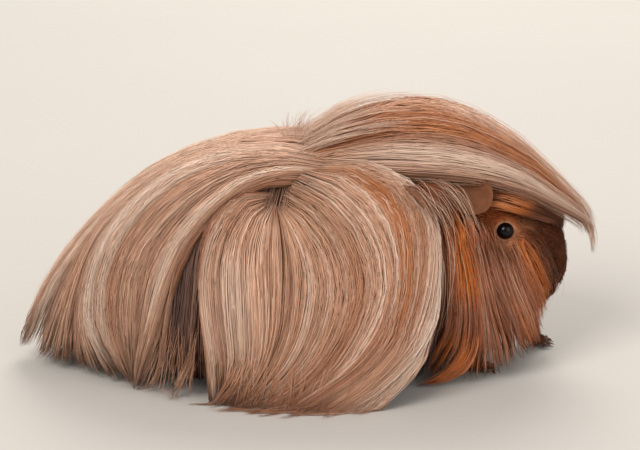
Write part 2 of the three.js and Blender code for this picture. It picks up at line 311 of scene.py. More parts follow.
points, outward = read_points(skin.data)
is_head = smooth_step(points[:, 0], 66, 84) * smooth_step(points[:, 2], 12, 26)
is_leg = 1 - smooth_step(points[:, 2], 12, 20)
depth = COAT_DEPTH["body"] + (COAT_DEPTH["face"] - COAT_DEPTH["body"]) * is_head
depth = depth + (COAT_DEPTH["legs"] - depth) * is_leg
points = points - outward * (depth + SEAM_GAP)[:, None]

# Each eye's socket: the hide dips under the eyeball and rises round it in two lids, the upper
# one heavier, which reach out to hold the eyeball and run back into the cheek.
from_eye = folded(points, -1) - EYE
around_eye = np.hypot(from_eye[:, 0], from_eye[:, 2] * OPENING_RATIO)
lid = np.exp(-(((around_eye - EYE_OPENING - LID_WIDTH) / LID_WIDTH) ** 2))
lid = lid * (1 + 0.35 * np.sign(from_eye[:, 2]))
socket = 1 - smooth_step(around_eye, EYE_OPENING - 0.6, EYE_OPENING + 0.35)
fold = np.exp(-(((around_eye - EYE_OPENING - 2.6) / 0.8) ** 2))
out_of_eye = lid * LID_RISE - socket * SOCKET_DEPTH - fold * 0.45
rim = smooth_step(around_eye, 3.8, 4.3) * (1 - smooth_step(around_eye, 4.9, 9.5))
out_of_eye += np.maximum(LID_LEVEL + from_eye[:, 1] - out_of_eye, 0) * rim
near_eye = np.abs(from_eye[:, 1]) < 9
points[:, 1] += np.where(points[:, 1] > 0, 1, -1) * out_of_eye * near_eye


def nose_features(points):
    """How far each point lies in a nostril, its wing, the groove below, and between the lips."""
    y, z = np.abs(points[:, 1]), points[:, 2]
    ahead = smooth_step(points[:, 0], 116, 122)
    slant = y - NOSTRIL[1] - 0.35 * (z - NOSTRIL[2])
    from_nostril = np.hypot(slant, (z - NOSTRIL[2]) / 1.6)
    nostril = np.exp(-((from_nostril / 1.1) ** 4)) * ahead
    wing = np.exp(-(((from_nostril - 2.3) / 0.9) ** 2)) * ahead
    groove = np.exp(-((y / 0.6) ** 2)) * smooth_step(z, 38, 41)
    groove = groove * (1 - smooth_step(z, 51, 53)) * ahead
    lip = np.exp(-(((z - 41 - 0.05 * y**2) / 0.75) ** 2)) * (1 - smooth_step(y, 8, 12)) * ahead
    return nostril, wing, groove, lip


def eye_distance(points):
    """How far each point lies from the middle of the eye on its side."""
    return np.linalg.norm(folded(points, -1) - EYE, axis=-1)


# The nostrils, the groove between them and the lips are pressed back into the muzzle.
nostril, wing, groove, lip = nose_features(points)
points[:, 0] += 0.7 * wing - 3.0 * nostril - 1.3 * groove - 1.7 * lip
write_points(skin.data, points)
bpy.ops.object.shade_smooth()

# Ears: thin, soft petals that hang outwards and forwards, cupped towards the cheek, with a
# rounded rim. Each is a ball pressed flat and bent, set where its solid hangs, and fused to the
# skin.
EAR_LENGTH = 21.0  # mm
EAR_WIDTH = 24.0
EAR_THICKNESS = 1.3
EAR_ROOT = np.array((80.25, 22.5, 106.5))  # of the left ear
EAR_FALL = np.array((0.42, 0.64, -0.64)) / 0.998  # the way from its root to its rim
EAR_SPREAD = np.array((0.86, 0.1, 0.5))  # the way across it


def on_ear(points):
    """Which points of the skin belong to an ear."""
    from_root = folded(points) - EAR_ROOT
    down = from_root @ EAR_FALL / EAR_LENGTH
    across = from_root @ EAR_SPREAD / (EAR_WIDTH / 2)
    away = from_root @ np.cross(EAR_FALL, EAR_SPREAD)
    near = np.abs(away - 2.5 + 5 * across**2 - 3 * down**2) < 2.2
    return near & (down > 0.12) & (down < 1.1) & (np.abs(across) < 1.15)


for side in (-1, 1):
    bpy.ops.object.select_all(action="DESELECT")
    bpy.ops.mesh.primitive_uv_sphere_add(segments=40, ring_count=24, radius=1)
    ear = bpy.context.object
    ball, _ = read_points(ear.data)
    across, along, thick = (ball * MM).T
    root, fall, spread = (way * (1, side, 1) for way in (EAR_ROOT, EAR_FALL, EAR_SPREAD))
    out = -side * np.cross(spread, fall)
    down = 0.5 + 0.5 * along
    width = EAR_WIDTH / 2 * (0.72 + 0.55 * down - 0.27 * down**2)
    bow = 5 * (across**2 - 0.5) - 3 * down**2
    ripple = 0.35 * np.sin(7 * across) * down
    shaped = (
        root
        + fall * (EAR_LENGTH * down)[:, None]
        + spread * (width * across)[:, None]
        + out * (-bow + ripple + EAR_THICKNESS / 2 * thick)[:, None]
    )
    write_points(ear.data, shaped)
    bpy.ops.object.mode_set(mode="EDIT")
    bpy.ops.mesh.select_all(action="SELECT")
    bpy.ops.mesh.normals_make_consistent(inside=False)
    bpy.ops.object.mode_set(mode="OBJECT")
    only(skin)
    apply_modifier(skin, "BOOLEAN", operation="UNION", solver="MANIFOLD", object=ear)
    bpy.data.objects.remove(ear)

points, _ = read_points(skin.data)
marks = face_marks(points)
nostril, wing, groove, lip = nose_features(points)
marks[:, 1] = np.maximum(marks[:, 1], 0.3 * wing)
# Painted shade: the nostrils, the groove below them and the line between the lips are darkened
# with the black, as well as pressed in.
marks[:, 2] = np.maximum.reduce([marks[:, 2], nostril, 0.8 * groove, 0.9 * lip])
marks[on_ear(points)] = (0.0, 0.32, 0.0, 0.5)
marks[eye_distance(points) < LID_REACH] = (0.0, 0.75, 0.0, 0.5)
set_marks(skin.data, marks)
bpy.ops.object.shade_smooth()

# Hide: thin skin under short flat hair. Brown with pigment, mottled, dull, and lightly pitted
# where each hair comes out.
HAIR_PITCH = 0.7  # mm between tufts of the short hair
hide, tree, output = new_material("furred hide")
place = add_node(tree, "ShaderNodeTexCoord")
marks = add_node(tree, "ShaderNodeAttribute", attribute_name="marks")
parts = add_node(tree, "ShaderNodeSeparateColor", {"Color": marks.outputs["Color"]})
shade = add_node(
    tree,
    "ShaderNodeTexNoise",
    {"Vector": place.outputs["Object"]},
    {"Scale": 1 / (6 * MM), "Detail": 6.0, "Roughness": 0.7},
)
# The black is also the colour of the painted shade in the face's hollows, nostrils and lip line.
FACE_COLOURS = dict(base="#562c16", ginger="#e57a40", tan="#c98a66", black="#26120b")


def marked_colour(tree, parts, colours):
    """The base colour with each mark laid over it, in the order of the palette."""
    base, *others = (linear(colour) for colour in colours.values())
    links, values = {}, {"A": base}
    for channel, colour in zip(("Red", "Green", "Blue"), others):
        links["Factor"] = parts.outputs[channel]
        values["B"] = colour
        mix = add_node(tree, "ShaderNodeMix", links, values, data_type="RGBA")
        links, values = {"A": mix.outputs["Result"]}, {}
    return mix.outputs["Result"]


colour = marked_colour(tree, parts, FACE_COLOURS)
value = add_node(
    tree,
    "ShaderNodeMapRange",
    {"Value": shade.outputs["Fac"]},
    {"From Min": 0.3, "From Max": 0.7, "To Min": 0.5, "To Max": 0.9},
)
toned = add_node(
    tree, "ShaderNodeHueSaturation", {"Color": colour, "Value": value.outputs["Result"]}
)
pits = add_node(
    tree,
    "ShaderNodeTexNoise",
    {"Vector": place.outputs["Object"]},
    {"Scale": 1 / (HAIR_PITCH * MM), "Detail": 2.0},
)
bump = add_node(
    tree,
    "ShaderNodeBump",
    {"Height": pits.outputs["Fac"]},
    {"Strength": 0.7, "Distance": 0.25 * MM},
)
hide_surface = add_node(
    tree,
    "ShaderNodeBsdfPrincipled",
    {"Base Color": toned.outputs["Color"], "Normal": bump.outputs["Normal"]},
    {"Roughness": 0.75, "IOR": 1.45, "Specular IOR Level": 0.15},
)
tree.links.new(hide_surface.outputs[0], output.inputs["Surface"])
skin.data.materials.clear()
skin.data.materials.append(hide)
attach(skin, "root")
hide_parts(*SKIN_NODES, "ear_left", "ear_right")

# ------------------------------------------------------------------ eyes
# Dark, round, wet eyes, set in the sides of the head and held by the lids. Each is a ball with
# a slightly fuller front, whose wet surface mirrors the lamps.
EYE_BULGE = 0.35  # mm
wet_eye, tree, output = new_material("wet dark eye")
place = add_node(tree, "ShaderNodeTexCoord")
depths = add_node(
    tree,
    "ShaderNodeTexNoise",
    {"Vector": place.outputs["Object"]},
    {"Scale": 1 / (2 * MM), "Detail": 3.0},
)
iris = add_node(
    tree,
    "ShaderNodeMix",
    {"Factor": depths.outputs["Fac"]},
    {"A": linear("#040304"), "B": linear("#120c0b")},
    data_type="RGBA",
)
eye_surface = add_node(
    tree,
    "ShaderNodeBsdfPrincipled",
    {"Base Color": iris.outputs["Result"]},
    {"Roughness": 0.02, "IOR": 1.34, "Specular IOR Level": 0.36},
)
tree.links.new(eye_surface.outputs[0], output.inputs["Surface"])

for side, label in ((-1, "right"), (1, "left")):
    low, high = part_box(f"eye_{label}")
    centre = (low + high) / 2
    bpy.ops.object.select_all(action="DESELECT")
    bpy.ops.mesh.primitive_uv_sphere_add(
        segments=48,
        ring_count=32,
        radius=EYE_RADIUS * MM,
        location=centre,
        rotation=(math.pi / 2, 0, 0),
    )
    eye = bpy.context.object
    eye.name = f"eyeball_{label}"
    eye.data.name = eye.name
    bpy.ops.object.transform_apply(location=True, rotation=True, scale=True)
    points, _ = read_points(eye.data)
    front = np.clip(side * (points[:, 1] - centre.y / MM) / EYE_RADIUS, 0, 1)
    points[:, 1] += side * EYE_BULGE * front**2
    write_points(eye.data, points)
    bpy.ops.object.shade_smooth()
    eye.data.materials.append(wet_eye)
    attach(eye, "root")
    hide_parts(f"eye_{label}")

# ------------------------------------------------------------------ claws
# Short blunt claws of brown horn, four on each forefoot and three on each hind foot, each
# a cone bent down to the floor.
CLAW_LENGTH = 5.4  # mm
CLAW_ROOT_RADIUS = 1.05
CLAW_TIP_RADIUS = 0.12
horn, tree, output = new_material("brown claw horn")
place = add_node(tree, "ShaderNodeTexCoord")
growth = add_node(
    tree,
    "ShaderNodeTexNoise",
    {"Vector": place.outputs["Object"]},
    {"Scale": 1 / (0.8 * MM), "Detail": 2.0},
)
horn_colour = add_node(
    tree,
    "ShaderNodeMix",
    {"Factor": growth.outputs["Fac"]},
    {"A": linear("#4a3426"), "B": linear("#7d6450")},
    data_type="RGBA",
)
horn_surface = add_node(
    tree,
    "ShaderNodeBsdfPrincipled",
    {"Base Color": horn_colour.outputs["Result"]},
    {"Roughness": 0.35, "IOR": 1.54},
)
tree.links.new(horn_surface.outputs[0], output.inputs["Surface"])


def claw(tip, fan):
    """One claw whose root is behind the tip, curving down to it. fan turns it outwards."""
    bpy.ops.mesh.primitive_cone_add(
        vertices=10,
        radius1=CLAW_ROOT_RADIUS * MM,
        radius2=CLAW_TIP_RADIUS * MM,
        depth=CLAW_LENGTH * MM,
        end_fill_type="NGON",
    )
    piece = bpy.context.object
    bpy.ops.object.mode_set(mode="EDIT")
    bpy.ops.mesh.select_all(action="SELECT")
    bpy.ops.mesh.bisect(plane_co=(0, 0, 0), plane_no=(0, 0, 1))
    bpy.ops.object.mode_set(mode="OBJECT")
    points, _ = read_points(piece.data)
    out = points[:, 2] + CLAW_LENGTH / 2  # from the root
    shaped = np.stack(
        [
            tip[0] - CLAW_LENGTH + out,
            tip[1] + points[:, 1] - fan * (CLAW_LENGTH - out) * 0.2,
            tip[2] + 1.5 - 0.052 * out**2 + points[:, 0],
        ],
        -1,
    )
    write_points(piece.data, shaped)
    return piece


# For each foot: how many claws, the foot's middle, and half the width that they spread over.
for foot, count, y, half_spread in (
    ("foreleg_left", 4, 19.0, 5.7),
    ("foreleg_right", 4, -19.0, 5.7),
    ("hindleg_left", 3, 29.0, 5.2),
    ("hindleg_right", 3, -29.0, 5.2),
):
    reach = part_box(foot)[1].x / MM
    row = []
    for i in range(count):
        fan = (i - (count - 1) / 2) / (count - 1)
        tip = (reach - 1.6 * abs(fan) * 2, y - 0.1 + fan * 2 * half_spread, 0.55)
        row.append(claw(tip, fan))
    bpy.ops.object.select_all(action="DESELECT")
    for piece in row:
        piece.select_set(True)
    bpy.context.view_layer.objects.active = row[0]
    bpy.ops.object.join()
    claws = bpy.context.object
    claws.name = f"claws_{foot}"
    claws.data.name = claws.name
    bpy.ops.object.shade_smooth()
    claws.data.materials.append(horn)
    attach(claws, "root")

# ------------------------------------------------------------------ under coat of the sides
# Long straight hair of the flanks and rump, which falls from a parting on the back to the
# floor. Below the top coat lies a dense darker one. Hair grows in locks: each lock is a sheaf
# of tapered strands laid along the coat's outer face, and each strand a closed thin tuft.
SHIFT = 0.75  # mm from the coat's own rows to the part's origin
# The coat's outline: x, top and half width, from the train to the shoulder.
COAT = np.array(
    [
        (-150.5, 0, 0),
        (-148, 13, 7.5),
        (-141, 31, 15.5),
        (-130, 49.5, 26),
        (-110, 75, 42),
        (-80, 101, 59),
        (-40, 118, 68),
        (0, 123, 75),
        (28, 122.5, 75.5),
        (52, 117, 69),
        (66, 109, 61),
        (78, 80, 44),
        (84, 0, 0),
    ]
)
FLOOR_CLEARANCE = 0.4  # mm from the floor up to the middle of the lowest hairs


def line_through(rows, at):
    """A smooth line through rows, read by each row's first value."""
    x, values = rows[:, 0], rows[:, 1:]
    slope = np.gradient(values, x, axis=0)
    at = np.clip(at, x[0], x[-1])
    i = np.clip(np.searchsorted(x, at, side="right") - 1, 0, len(x) - 2)
    step = (x[i + 1] - x[i])[..., None]
    t = (at - x[i])[..., None] / step
    return (
        values[i] * (2 * t**3 - 3 * t**2 + 1)
        + slope[i] * step * (t**3 - 2 * t**2 + t)
        + values[i + 1] * (3 * t**2 - 2 * t**3)
        + slope[i + 1] * step * (t**3 - t**2)
    )


def bent(value, power):
    return np.sign(value) * np.abs(value) ** power


def coat_face(x, turn):
    """The combed coat's outer face: turn is 0 at the right hem, 90 on the back and 180 at the
    left hem, and beyond those the hair runs out along the floor."""
    outline = line_through(COAT, x - SHIFT)
    top = np.maximum(outline[..., 0], 0)
    half = np.maximum(outline[..., 1], 0)
    angle = np.radians(np.clip(turn, 0, 180))
    rise = np.maximum(np.sin(angle), 0) ** 0.92
    low = 1 - rise
    tuck = np.clip((-50 - x) / 200, 0, 0.35)
    flare = 1 + 0.05 * np.sin(2 * np.pi * rise) - tuck * low * low
    y = -half * flare * bent(np.cos(angle), 0.72)
    y = y - np.maximum(-turn, 0) + np.maximum(turn - 180, 0)
    return np.stack([x, y, top * rise], -1)


def unit(vectors):
    return vectors / np.maximum(np.linalg.norm(vectors, axis=-1, keepdims=True), 1e-9)


def coat_at(x, turn):
    """Points on the coat's face and the way out of it."""
    over_x = coat_face(x + 0.5, turn) - coat_face(x - 0.5, turn)
    over_turn = coat_face(x, turn + 0.5) - coat_face(x, turn - 0.5)
    points = coat_face(x, turn)
    out = unit(np.cross(over_turn, over_x))
    middle = points * (1, 0, 0) + (0, 0, 25)
    return points, out * np.sign(((points - middle) * out).sum(-1, keepdims=True) + 1e-9)


def neighbours(position, count):
    """The four rows about each position, and the weights of a smooth line through them."""
    position = np.clip(position, 0, count - 1 - 1e-9)
    base = np.floor(position).astype(int)
    f = (position - base)[..., None]
    weights = np.concatenate(
        [-f + 2 * f**2 - f**3, 2 - 5 * f**2 + 3 * f**3, f + 4 * f**2 - 3 * f**3, f**3 - f**2], -1
    )
    return np.clip(base[..., None] + np.arange(-1, 3), 0, count - 1), weights / 2


def on_paths(paths, across, along):
    """A point between the given paths: across counts them from 0, along goes from root to tip."""
    paths = np.asarray(paths, float)
    i, wide = neighbours(across, paths.shape[0])
    j, long = neighbours(along * (paths.shape[1] - 1), paths.shape[1])
    near = paths[i[..., :, None], j[..., None, :]]
    return np.einsum("...i,...j,...ijk->...k", wide, long, near)


def comb_locks(
    rng, paths, count, per_lock, steps, roots, tips, squeeze=0.55, wander=0.5,
    level=(-1.4, 0.3), stray=0.06, fill=0.22, crowd=1.3, lift=1.0,
):
    """Where each strand lies: locks of strands spread over the paths. roots and tips are the
    ranges in which the strands start and end, from 0 to 1 along a path. squeeze is how much a
    lock narrows to its tip, wander how far it sways, level its range of heights, stray and fill
    the shares of loose strands and of wide ones below, crowd how close the roots lie to the
    start, and lift how high the loose strands stand. Returns, for each strand and step, across,
    along and height over the coat's face, and for each strand its tone, which runs in streaks,
    a chance of its own, and how wide it is."""
    locks = max(1, count // per_lock)
    pitch = (len(paths) - 1) / locks
    lock = rng.integers(0, locks, count)
    centre = (np.arange(locks) + rng.uniform(0, 1, locks)) * pitch
    half = 1.5 * pitch * rng.uniform(0.6, 1.4, locks)
    place = rng.uniform(-1, 1, count)
    is_stray = rng.uniform(0, 1, count) < stray
    is_fill = ~is_stray & (rng.uniform(0, 1, count) < fill)
    root = rng.uniform(0, 1, count) ** crowd * (roots[1] - roots[0]) + roots[0]
    tip = (tips[0] + (tips[1] - tips[0]) * rng.uniform(0, 1, locks))[lock]
    tip = np.maximum(tip + rng.normal(0, 0.03, count), root + 0.2)
    s = np.linspace(0, 1, steps)
    along = root[:, None] + (tip - root)[:, None] * s
    gather = 1 - squeeze * smooth_step(along, 0.45, 1.1)
    phase = rng.uniform(0, 6.3, locks)[lock, None]
    drift = wander * pitch * np.sin(phase + 5 * along * rng.uniform(0.5, 1.2, locks)[lock, None])
    own = rng.normal(0, 0.12, count)[:, None] * pitch * s
    across = centre[lock, None] + (half[lock] * place)[:, None] * gather + drift + own
    across = across + is_stray[:, None] * rng.normal(0, 1.3, count)[:, None] * pitch * (s - 0.3)
    height = (level[0] + (level[1] - level[0]) * rng.uniform(0, 1, locks) ** 0.8)[lock]
    height = height + 0.6 * (1 - place**2) + rng.normal(0, 0.3, count) - 1.3 * is_fill
    height = height[:, None] + is_stray[:, None] * lift * (0.6 + s)
    height = height - 3.5 * (1 - smooth_step(s, 0, 0.2))
    tone = 0
    for share, fineness, start, knots in (
        (0.35, 2.2, 5, 4 * locks + 20),
        (0.4, 9, 10, 12 * locks + 60),
    ):
        at = across[:, 0] / pitch * fineness + start
        tone = tone + share * np.interp(at, np.arange(knots), rng.uniform(0, 1, knots))
    tone = tone + 0.25 * rng.uniform(0, 1, locks)[lock]
    tone = smooth_step(tone, 0.15, 0.85)
    return dict(
        across=across,
        along=along,
        height=height,
        tone=tone,
        own_chance=rng.uniform(0, 1, count),
        wide=(0.75 + 0.5 * rng.uniform(0, 1, count)) * (1 - 0.4 * is_stray) * (1 + 1.9 * is_fill),
    )


STRAND_PATCH = 0.003  # how much of the unwrapped body's width one strand takes up


def tuft_mesh(name, points, outward, width, marks, patch, material):
    """One object of closed three-sided strands. points: (strands, steps, 3) in millimetres from
    root to tip, outward the same shape, width per strand, marks (strands, steps, 4), and patch
    (strands, 2), where the strand's small patch lies on the unwrapped body."""
    count, steps, _ = points.shape
    points = points.copy()
    points[..., 2] = np.maximum(points[..., 2], FLOOR_CLEARANCE)
    ahead = unit(np.gradient(points, axis=1))
    sideways = unit(np.cross(ahead, outward))
    upward = np.cross(sideways, ahead)
    s = np.linspace(0, 1, steps)[:-1]
    taper = np.minimum(0.55 + 3 * s, 1) * (1 - 0.75 * np.clip((s - 0.45) / 0.55, 0, 1) ** 1.3)
    half = (width[:, None] * taper / 2)[..., None, None]
    corners = np.array([(-1.0, -0.2), (0.0, 0.45), (1.0, -0.2)])
    body = points[:, :-1, None]
    rings = body + half * (
        corners[:, 0, None] * sideways[:, :-1, None] + corners[:, 1, None] * upward[:, :-1, None]
    )
    ring_count = steps - 1
    per = ring_count * 3 + 1
    verts = np.concatenate([rings.reshape(count, -1, 3), points[:, -1:]], 1)
    first = (np.arange(count) * per)[:, None, None]
    ring = (np.arange(ring_count - 1) * 3)[None, :, None]
    corner = np.arange(3)[None, None, :]
    after = (corner + 1) % 3
    here = first + ring
    quads = np.stack([here + corner, here + after, here + 3 + after, here + 3 + corner], -1)
    quads = quads.reshape(-1, 4)
    first = first[:, 0]
    last = first + (ring_count - 1) * 3
    ends = np.stack(
        [last + corner[0], last + after[0], np.broadcast_to(first + per - 1, (count, 3))], -1
    ).reshape(-1, 3)
    caps = np.stack([first[:, 0] + 2, first[:, 0] + 1, first[:, 0]], -1)
    tris = np.concatenate([ends, caps])
    corners_of = np.concatenate([quads.ravel(), tris.ravel()])
    starts = np.concatenate([np.arange(len(quads)) * 4, len(quads) * 4 + np.arange(len(tris)) * 3])
    mesh = bpy.data.meshes.new(name)
    mesh.vertices.add(count * per)
    mesh.vertices.foreach_set("co", (verts * MM).ravel())
    mesh.loops.add(len(corners_of))
    mesh.loops.foreach_set("vertex_index", corners_of)
    mesh.polygons.add(len(starts))
    mesh.polygons.foreach_set("loop_start", starts)
    mesh.update(calc_edges=True)
    mesh.validate()
    mesh.shade_smooth()
    ring_marks = np.repeat(marks[:, :-1], 3, axis=1)
    set_marks(mesh, np.concatenate([ring_marks, marks[:, -1:]], 1))
    uv = np.zeros((count, per, 2))
    uv[:, :-1, 0] = np.tile([0, 0.5, 1], ring_count)
    uv[:, :-1, 1] = np.repeat(s, 3)
    uv[:, -1] = (0.5, 1)
    uv = (uv * STRAND_PATCH + patch[:, None]).reshape(-1, 2)
    layer = mesh.uv_layers.new(name="OFBake")
    layer.data.foreach_set("uv", uv[corners_of].ravel())
    mesh.materials.append(material)
    piece = bpy.data.objects.new(name, mesh)
    scene.collection.objects.link(piece)
    return piece


def streak(across, along, rows):
    """How strongly each place lies in a streak: across, half width, strength, from and to."""
    clear = np.ones(np.broadcast_shapes(across.shape, along.shape))
    for middle, half, strength, start, end in rows:
        inside = smooth_step(along, start - 0.06, start + 0.06)
        inside = inside * (1 - smooth_step(along, end - 0.08, end + 0.08))
        clear *= 1 - strength * inside * np.exp(-(((across - middle) / half) ** 2))
    return 1 - clear


# Guard hair: long smooth keratin, with a soft gloss along its length.
# Fawn, with streaks bleached to cream or stained ginger, and darker where it is shaded.
def hair_material(name, colours, roughness, darkest, brightest, specular=0.4):
    material, tree, output = new_material(name)
    marks = add_node(tree, "ShaderNodeAttribute", attribute_name="marks")
    parts = add_node(tree, "ShaderNodeSeparateColor", {"Color": marks.outputs["Color"]})
    place = add_node(tree, "ShaderNodeTexCoord")
    mottle = add_node(
        tree,
        "ShaderNodeTexNoise",
        {"Vector": place.outputs["Object"]},
        {"Scale": 1 / (9 * MM), "Detail": 3.0},
    )
    colour = marked_colour(tree, parts, colours)
    chance = add_node(
        tree,
        "ShaderNodeMapRange",
        {"Value": marks.outputs["Alpha"]},
        {"To Min": darkest, "To Max": brightest},
    )
    patchy = add_node(
        tree,
        "ShaderNodeMapRange",
        {"Value": mottle.outputs["Fac"]},
        {"From Min": 0.3, "From Max": 0.7, "To Min": 0.93, "To Max": 1.05},
    )
    value = add_node(
        tree,
        "ShaderNodeMath",
        {0: chance.outputs["Result"], 1: patchy.outputs["Result"]},
        operation="MULTIPLY",
    )
    toned = add_node(tree, "ShaderNodeHueSaturation", {"Color": colour, "Value": value.outputs[0]})
    gloss = add_node(
        tree,
        "ShaderNodeMapRange",
        {"Value": mottle.outputs["Fac"]},
        {"To Min": roughness - 0.06, "To Max": roughness + 0.06},
    )
    surface = add_node(
        tree,
        "ShaderNodeBsdfPrincipled",
        {"Base Color": toned.outputs["Color"], "Roughness": gloss.outputs["Result"]},
        {"IOR": 1.55, "Specular IOR Level": specular},
    )
    tree.links.new(surface.outputs[0], output.inputs["Surface"])
    return material


top_hair = hair_material(
    "fawn guard hair",
    dict(base="#cc9d80", ginger="#bb713c", cream="#ebd5c4", brown="#86553d"),
    roughness=0.5,
    darkest=0.88,
    brightest=1.07,
)
under_hair = hair_material(
    "dark under hair",
    dict(base="#ad7655", ginger="#a5672f", cream="#c4a28c", brown="#634940"),
    roughness=0.62,
    darkest=0.75,
    brightest=1.1,
)


def body_patch(points):
    """Where roots lie on the body's shape unrolled about its long axis, from 0 to 1 each way."""
    length = (points[..., 0] + 155) / 310
    turn = (np.arctan2(points[..., 1], points[..., 2] - 45) + np.pi) / (2 * np.pi)
    return np.stack([length, turn], -1) * 0.99


def mirrored(points):
    return points * (1, -1, 1)


def lay(name, comb, surface, width, colouring, material, side=-1, replaced=()):
    """Builds one piece of coat from combed locks on a surface, on the right or the left side."""
    points, out = surface(comb["across"], comb["along"])
    points = points + out * comb["height"][..., None]
    if side > 0:
        points, out = mirrored(points), mirrored(out)
    chance = 0.6 * comb["tone"] + 0.4 * comb["own_chance"]
    marks = colouring(comb)
    alpha = np.broadcast_to(chance[:, None], comb["along"].shape)
    marks = np.stack([*np.broadcast_arrays(*marks), alpha], -1)
    widths = width * comb["wide"]
    piece = tuft_mesh(name, points, out, widths, marks, body_patch(points[:, 0]), material)
    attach(piece, "root")
    if replaced:
        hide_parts(*replaced)
    return piece


# The under coat hangs nearly straight: x and turn, from root to tip, rear to shoulder.
UNDER_PATHS = [
    [(-60, 88), (-100, 84), (-126, 76), (-138, 48), (-143, 4)],
    [(-80, 84), (-100, 70), (-112, 48), (-120, 22), (-130, -4)],
    [(-80, 80), (-90, 62), (-96, 40), (-101, 18), (-110, -4)],
    [(-66, 76), (-76, 58), (-82, 38), (-85, 18), (-92, -2)],
    [(-46, 72), (-54, 54), (-60, 34), (-63, 16), (-66, 2)],
    [(-20, 72), (-30, 52), (-36, 34), (-38, 16), (-42, 2)],
    [(4, 74), (4, 52), (0, 34), (-6, 16), (-14, 2)],
    [(30, 78), (34, 54), (32, 34), (26, 16), (12, 2)],
    [(52, 80), (62, 54), (61, 32), (52, 14), (36, 2)],
]
# Streaks: where across the paths, half width, strength, and from where to where along them.
UNDER_GINGER = [(1.5, 1.3, 0.9, 0.5, 1.2), (3.8, 0.8, 0.8, 0.86, 1.2)]
UNDER_BROWN = [
    (3.9, 0.8, 0.95, 0.3, 1.2),
    (0.6, 0.9, 0.3, 0.5, 1.2),
    # painted shade: the roots, deep under the top coat, darkened all across
    (4.0, 4.0, 0.9, -1.0, 0.25),
]


def on_coat(paths):
    """The coat's face, for hair whose paths are x and turn."""

    def surface(across, along):
        q = on_paths(paths, across, along)
        return coat_at(q[..., 0], q[..., 1])

    return surface


def under_colours(comb):
    across, along, tone = comb["across"], comb["along"], comb["tone"][:, None]
    ginger = streak(across, along, UNDER_GINGER)
    cream = 0.5 * smooth_step(tone, 0.6, 0.9)
    brown = streak(across, along, UNDER_BROWN)
    return ginger, cream, np.maximum(brown, 0.5 * (1 - smooth_step(tone, 0.1, 0.35)))


def both_sides(seed):
    """The right side and the left, each with random draws of its own."""
    for side, label in ((-1, "right"), (1, "left")):
        yield side, label, np.random.default_rng(seed + (side > 0))


for side, label, rng in both_sides(11):
    comb = comb_locks(
        rng, UNDER_PATHS, count=1600, per_lock=24, steps=6, roots=(0, 0.5), tips=(0.85, 1.0),
        level=(-8, -4.5), squeeze=0.3, stray=0.05,
    )
    lay(f"under_coat_{label}", comb, on_coat(UNDER_PATHS), 0.75, under_colours, under_hair, side)

# ------------------------------------------------------------------ side coat
# From a whorl on each flank the long hair fans out, forwards in an arch to the shoulder and
# backwards in a short bow, and all of it falls to the hem. The front edge overhangs the neck.
FAN_PATHS = [
    [(-16, 60), (-34, 59), (-50, 51), (-61, 41), (-67, 30), (-71, 17), (-76, 2)],
    [(-16, 59), (-34, 56), (-46, 45), (-51, 33), (-50, 22), (-47, 11), (-46, -1)],
    [(-16, 56), (-25, 47), (-29, 36), (-28, 27), (-27, 18), (-28, 9), (-40, -2)],
    [(-14, 54), (-10, 43), (-8, 34), (-8, 26), (-10, 17), (-18, 8), (-36, -3)],
    [(-12, 56), (4, 46), (14, 35), (16, 25), (8, 14), (-6, 6), (-32, -3)],
    [(-2, 68), (20, 58), (37, 44), (42, 29), (32, 16), (12, 5), (-20, -3)],
    [(0, 70), (30, 65), (48, 49), (51, 32), (44, 18), (25, 7), (-8, -3)],
    [(4, 73), (38, 69), (60, 53), (62, 34), (54, 18), (34, 7), (2, -2)],
    [(8, 76), (44, 71), (66, 56), (69, 37), (66, 20), (50, 8), (20, -1)],
]
FAN_STRAND = 0.55  # mm
FAN_GINGER = [
    (6.0, 0.42, 1.0, 0.12, 0.8),
    (6.8, 0.1, 0.5, 0.3, 0.8),
    (4.4, 0.15, 0.35, 0.3, 0.8),
    (0.4, 0.5, 0.5, 0.0, 0.5),
]
FAN_CREAM = [
    (7.9, 0.5, 1.0, 0.12, 1.2),
    (7.2, 0.1, 0.7, 0.2, 0.9),
    (5.4, 0.07, 0.5, 0.2, 0.9),
    (1.7, 0.35, 0.6, 0.35, 0.8),
    (1.1, 0.1, 0.5, 0.3, 0.9),
    (3.5, 0.1, 0.4, 0.3, 0.9),
]
FAN_BROWN = [
    (3.1, 0.07, 0.8, 0.12, 0.6),
    (5.9, 0.06, 0.5, 0.3, 0.9),
    (6.6, 0.08, 0.4, 0.2, 0.9),
    (4.1, 0.8, 0.2, 0.2, 1.2),
    (0.45, 0.5, 0.8, 0.0, 0.6),
]


def fan_surface(across, along):
    """Along the fan, which sinks in at the whorl and splits behind its first lock."""
    start = across[..., :1]
    home = np.where(start < 0.4, 0.1 * across, 1 - 0.12 * (1 - across))
    parted = across + (home - across) * smooth_step(along, 0.25, 0.5)
    q = on_paths(FAN_PATHS, np.where(start < 1, parted, across), along)
    points, out = coat_at(q[..., 0], q[..., 1])
    from_whorl = np.hypot(q[..., 0] + 15, (q[..., 1] - 56) * 1.2)
    dimple = 3.5 * np.exp(-((from_whorl / 7) ** 2)) + 2 * (1 - smooth_step(across, 0.3, 0.9))
    return points - out * dimple[..., None], out


def long_coat_colours(ginger_rows, cream_rows, brown_rows, cream_most=0.6, brown_most=0.45):
    """Colours a comb by its streaks, with pale and dark strands between and brown tips."""

    def colouring(comb):
        across, along, tone = comb["across"], comb["along"], comb["tone"][:, None]
        ginger = streak(across, along, ginger_rows)
        pale = cream_most * smooth_step(tone, 0.62, 0.95)
        dark = brown_most * (1 - smooth_step(tone, 0.05, 0.35))
        cream = np.maximum(streak(across, along, cream_rows), pale)
        brown = np.maximum(streak(across, along, brown_rows), dark)
        return ginger, cream, np.maximum(brown, 0.5 * smooth_step(along, 0.88, 1.02))

    return colouring


def part_of(comb, chosen):
    """The strands of a comb for which chosen is true."""
    return {name: values[chosen] for name, values in comb.items()}


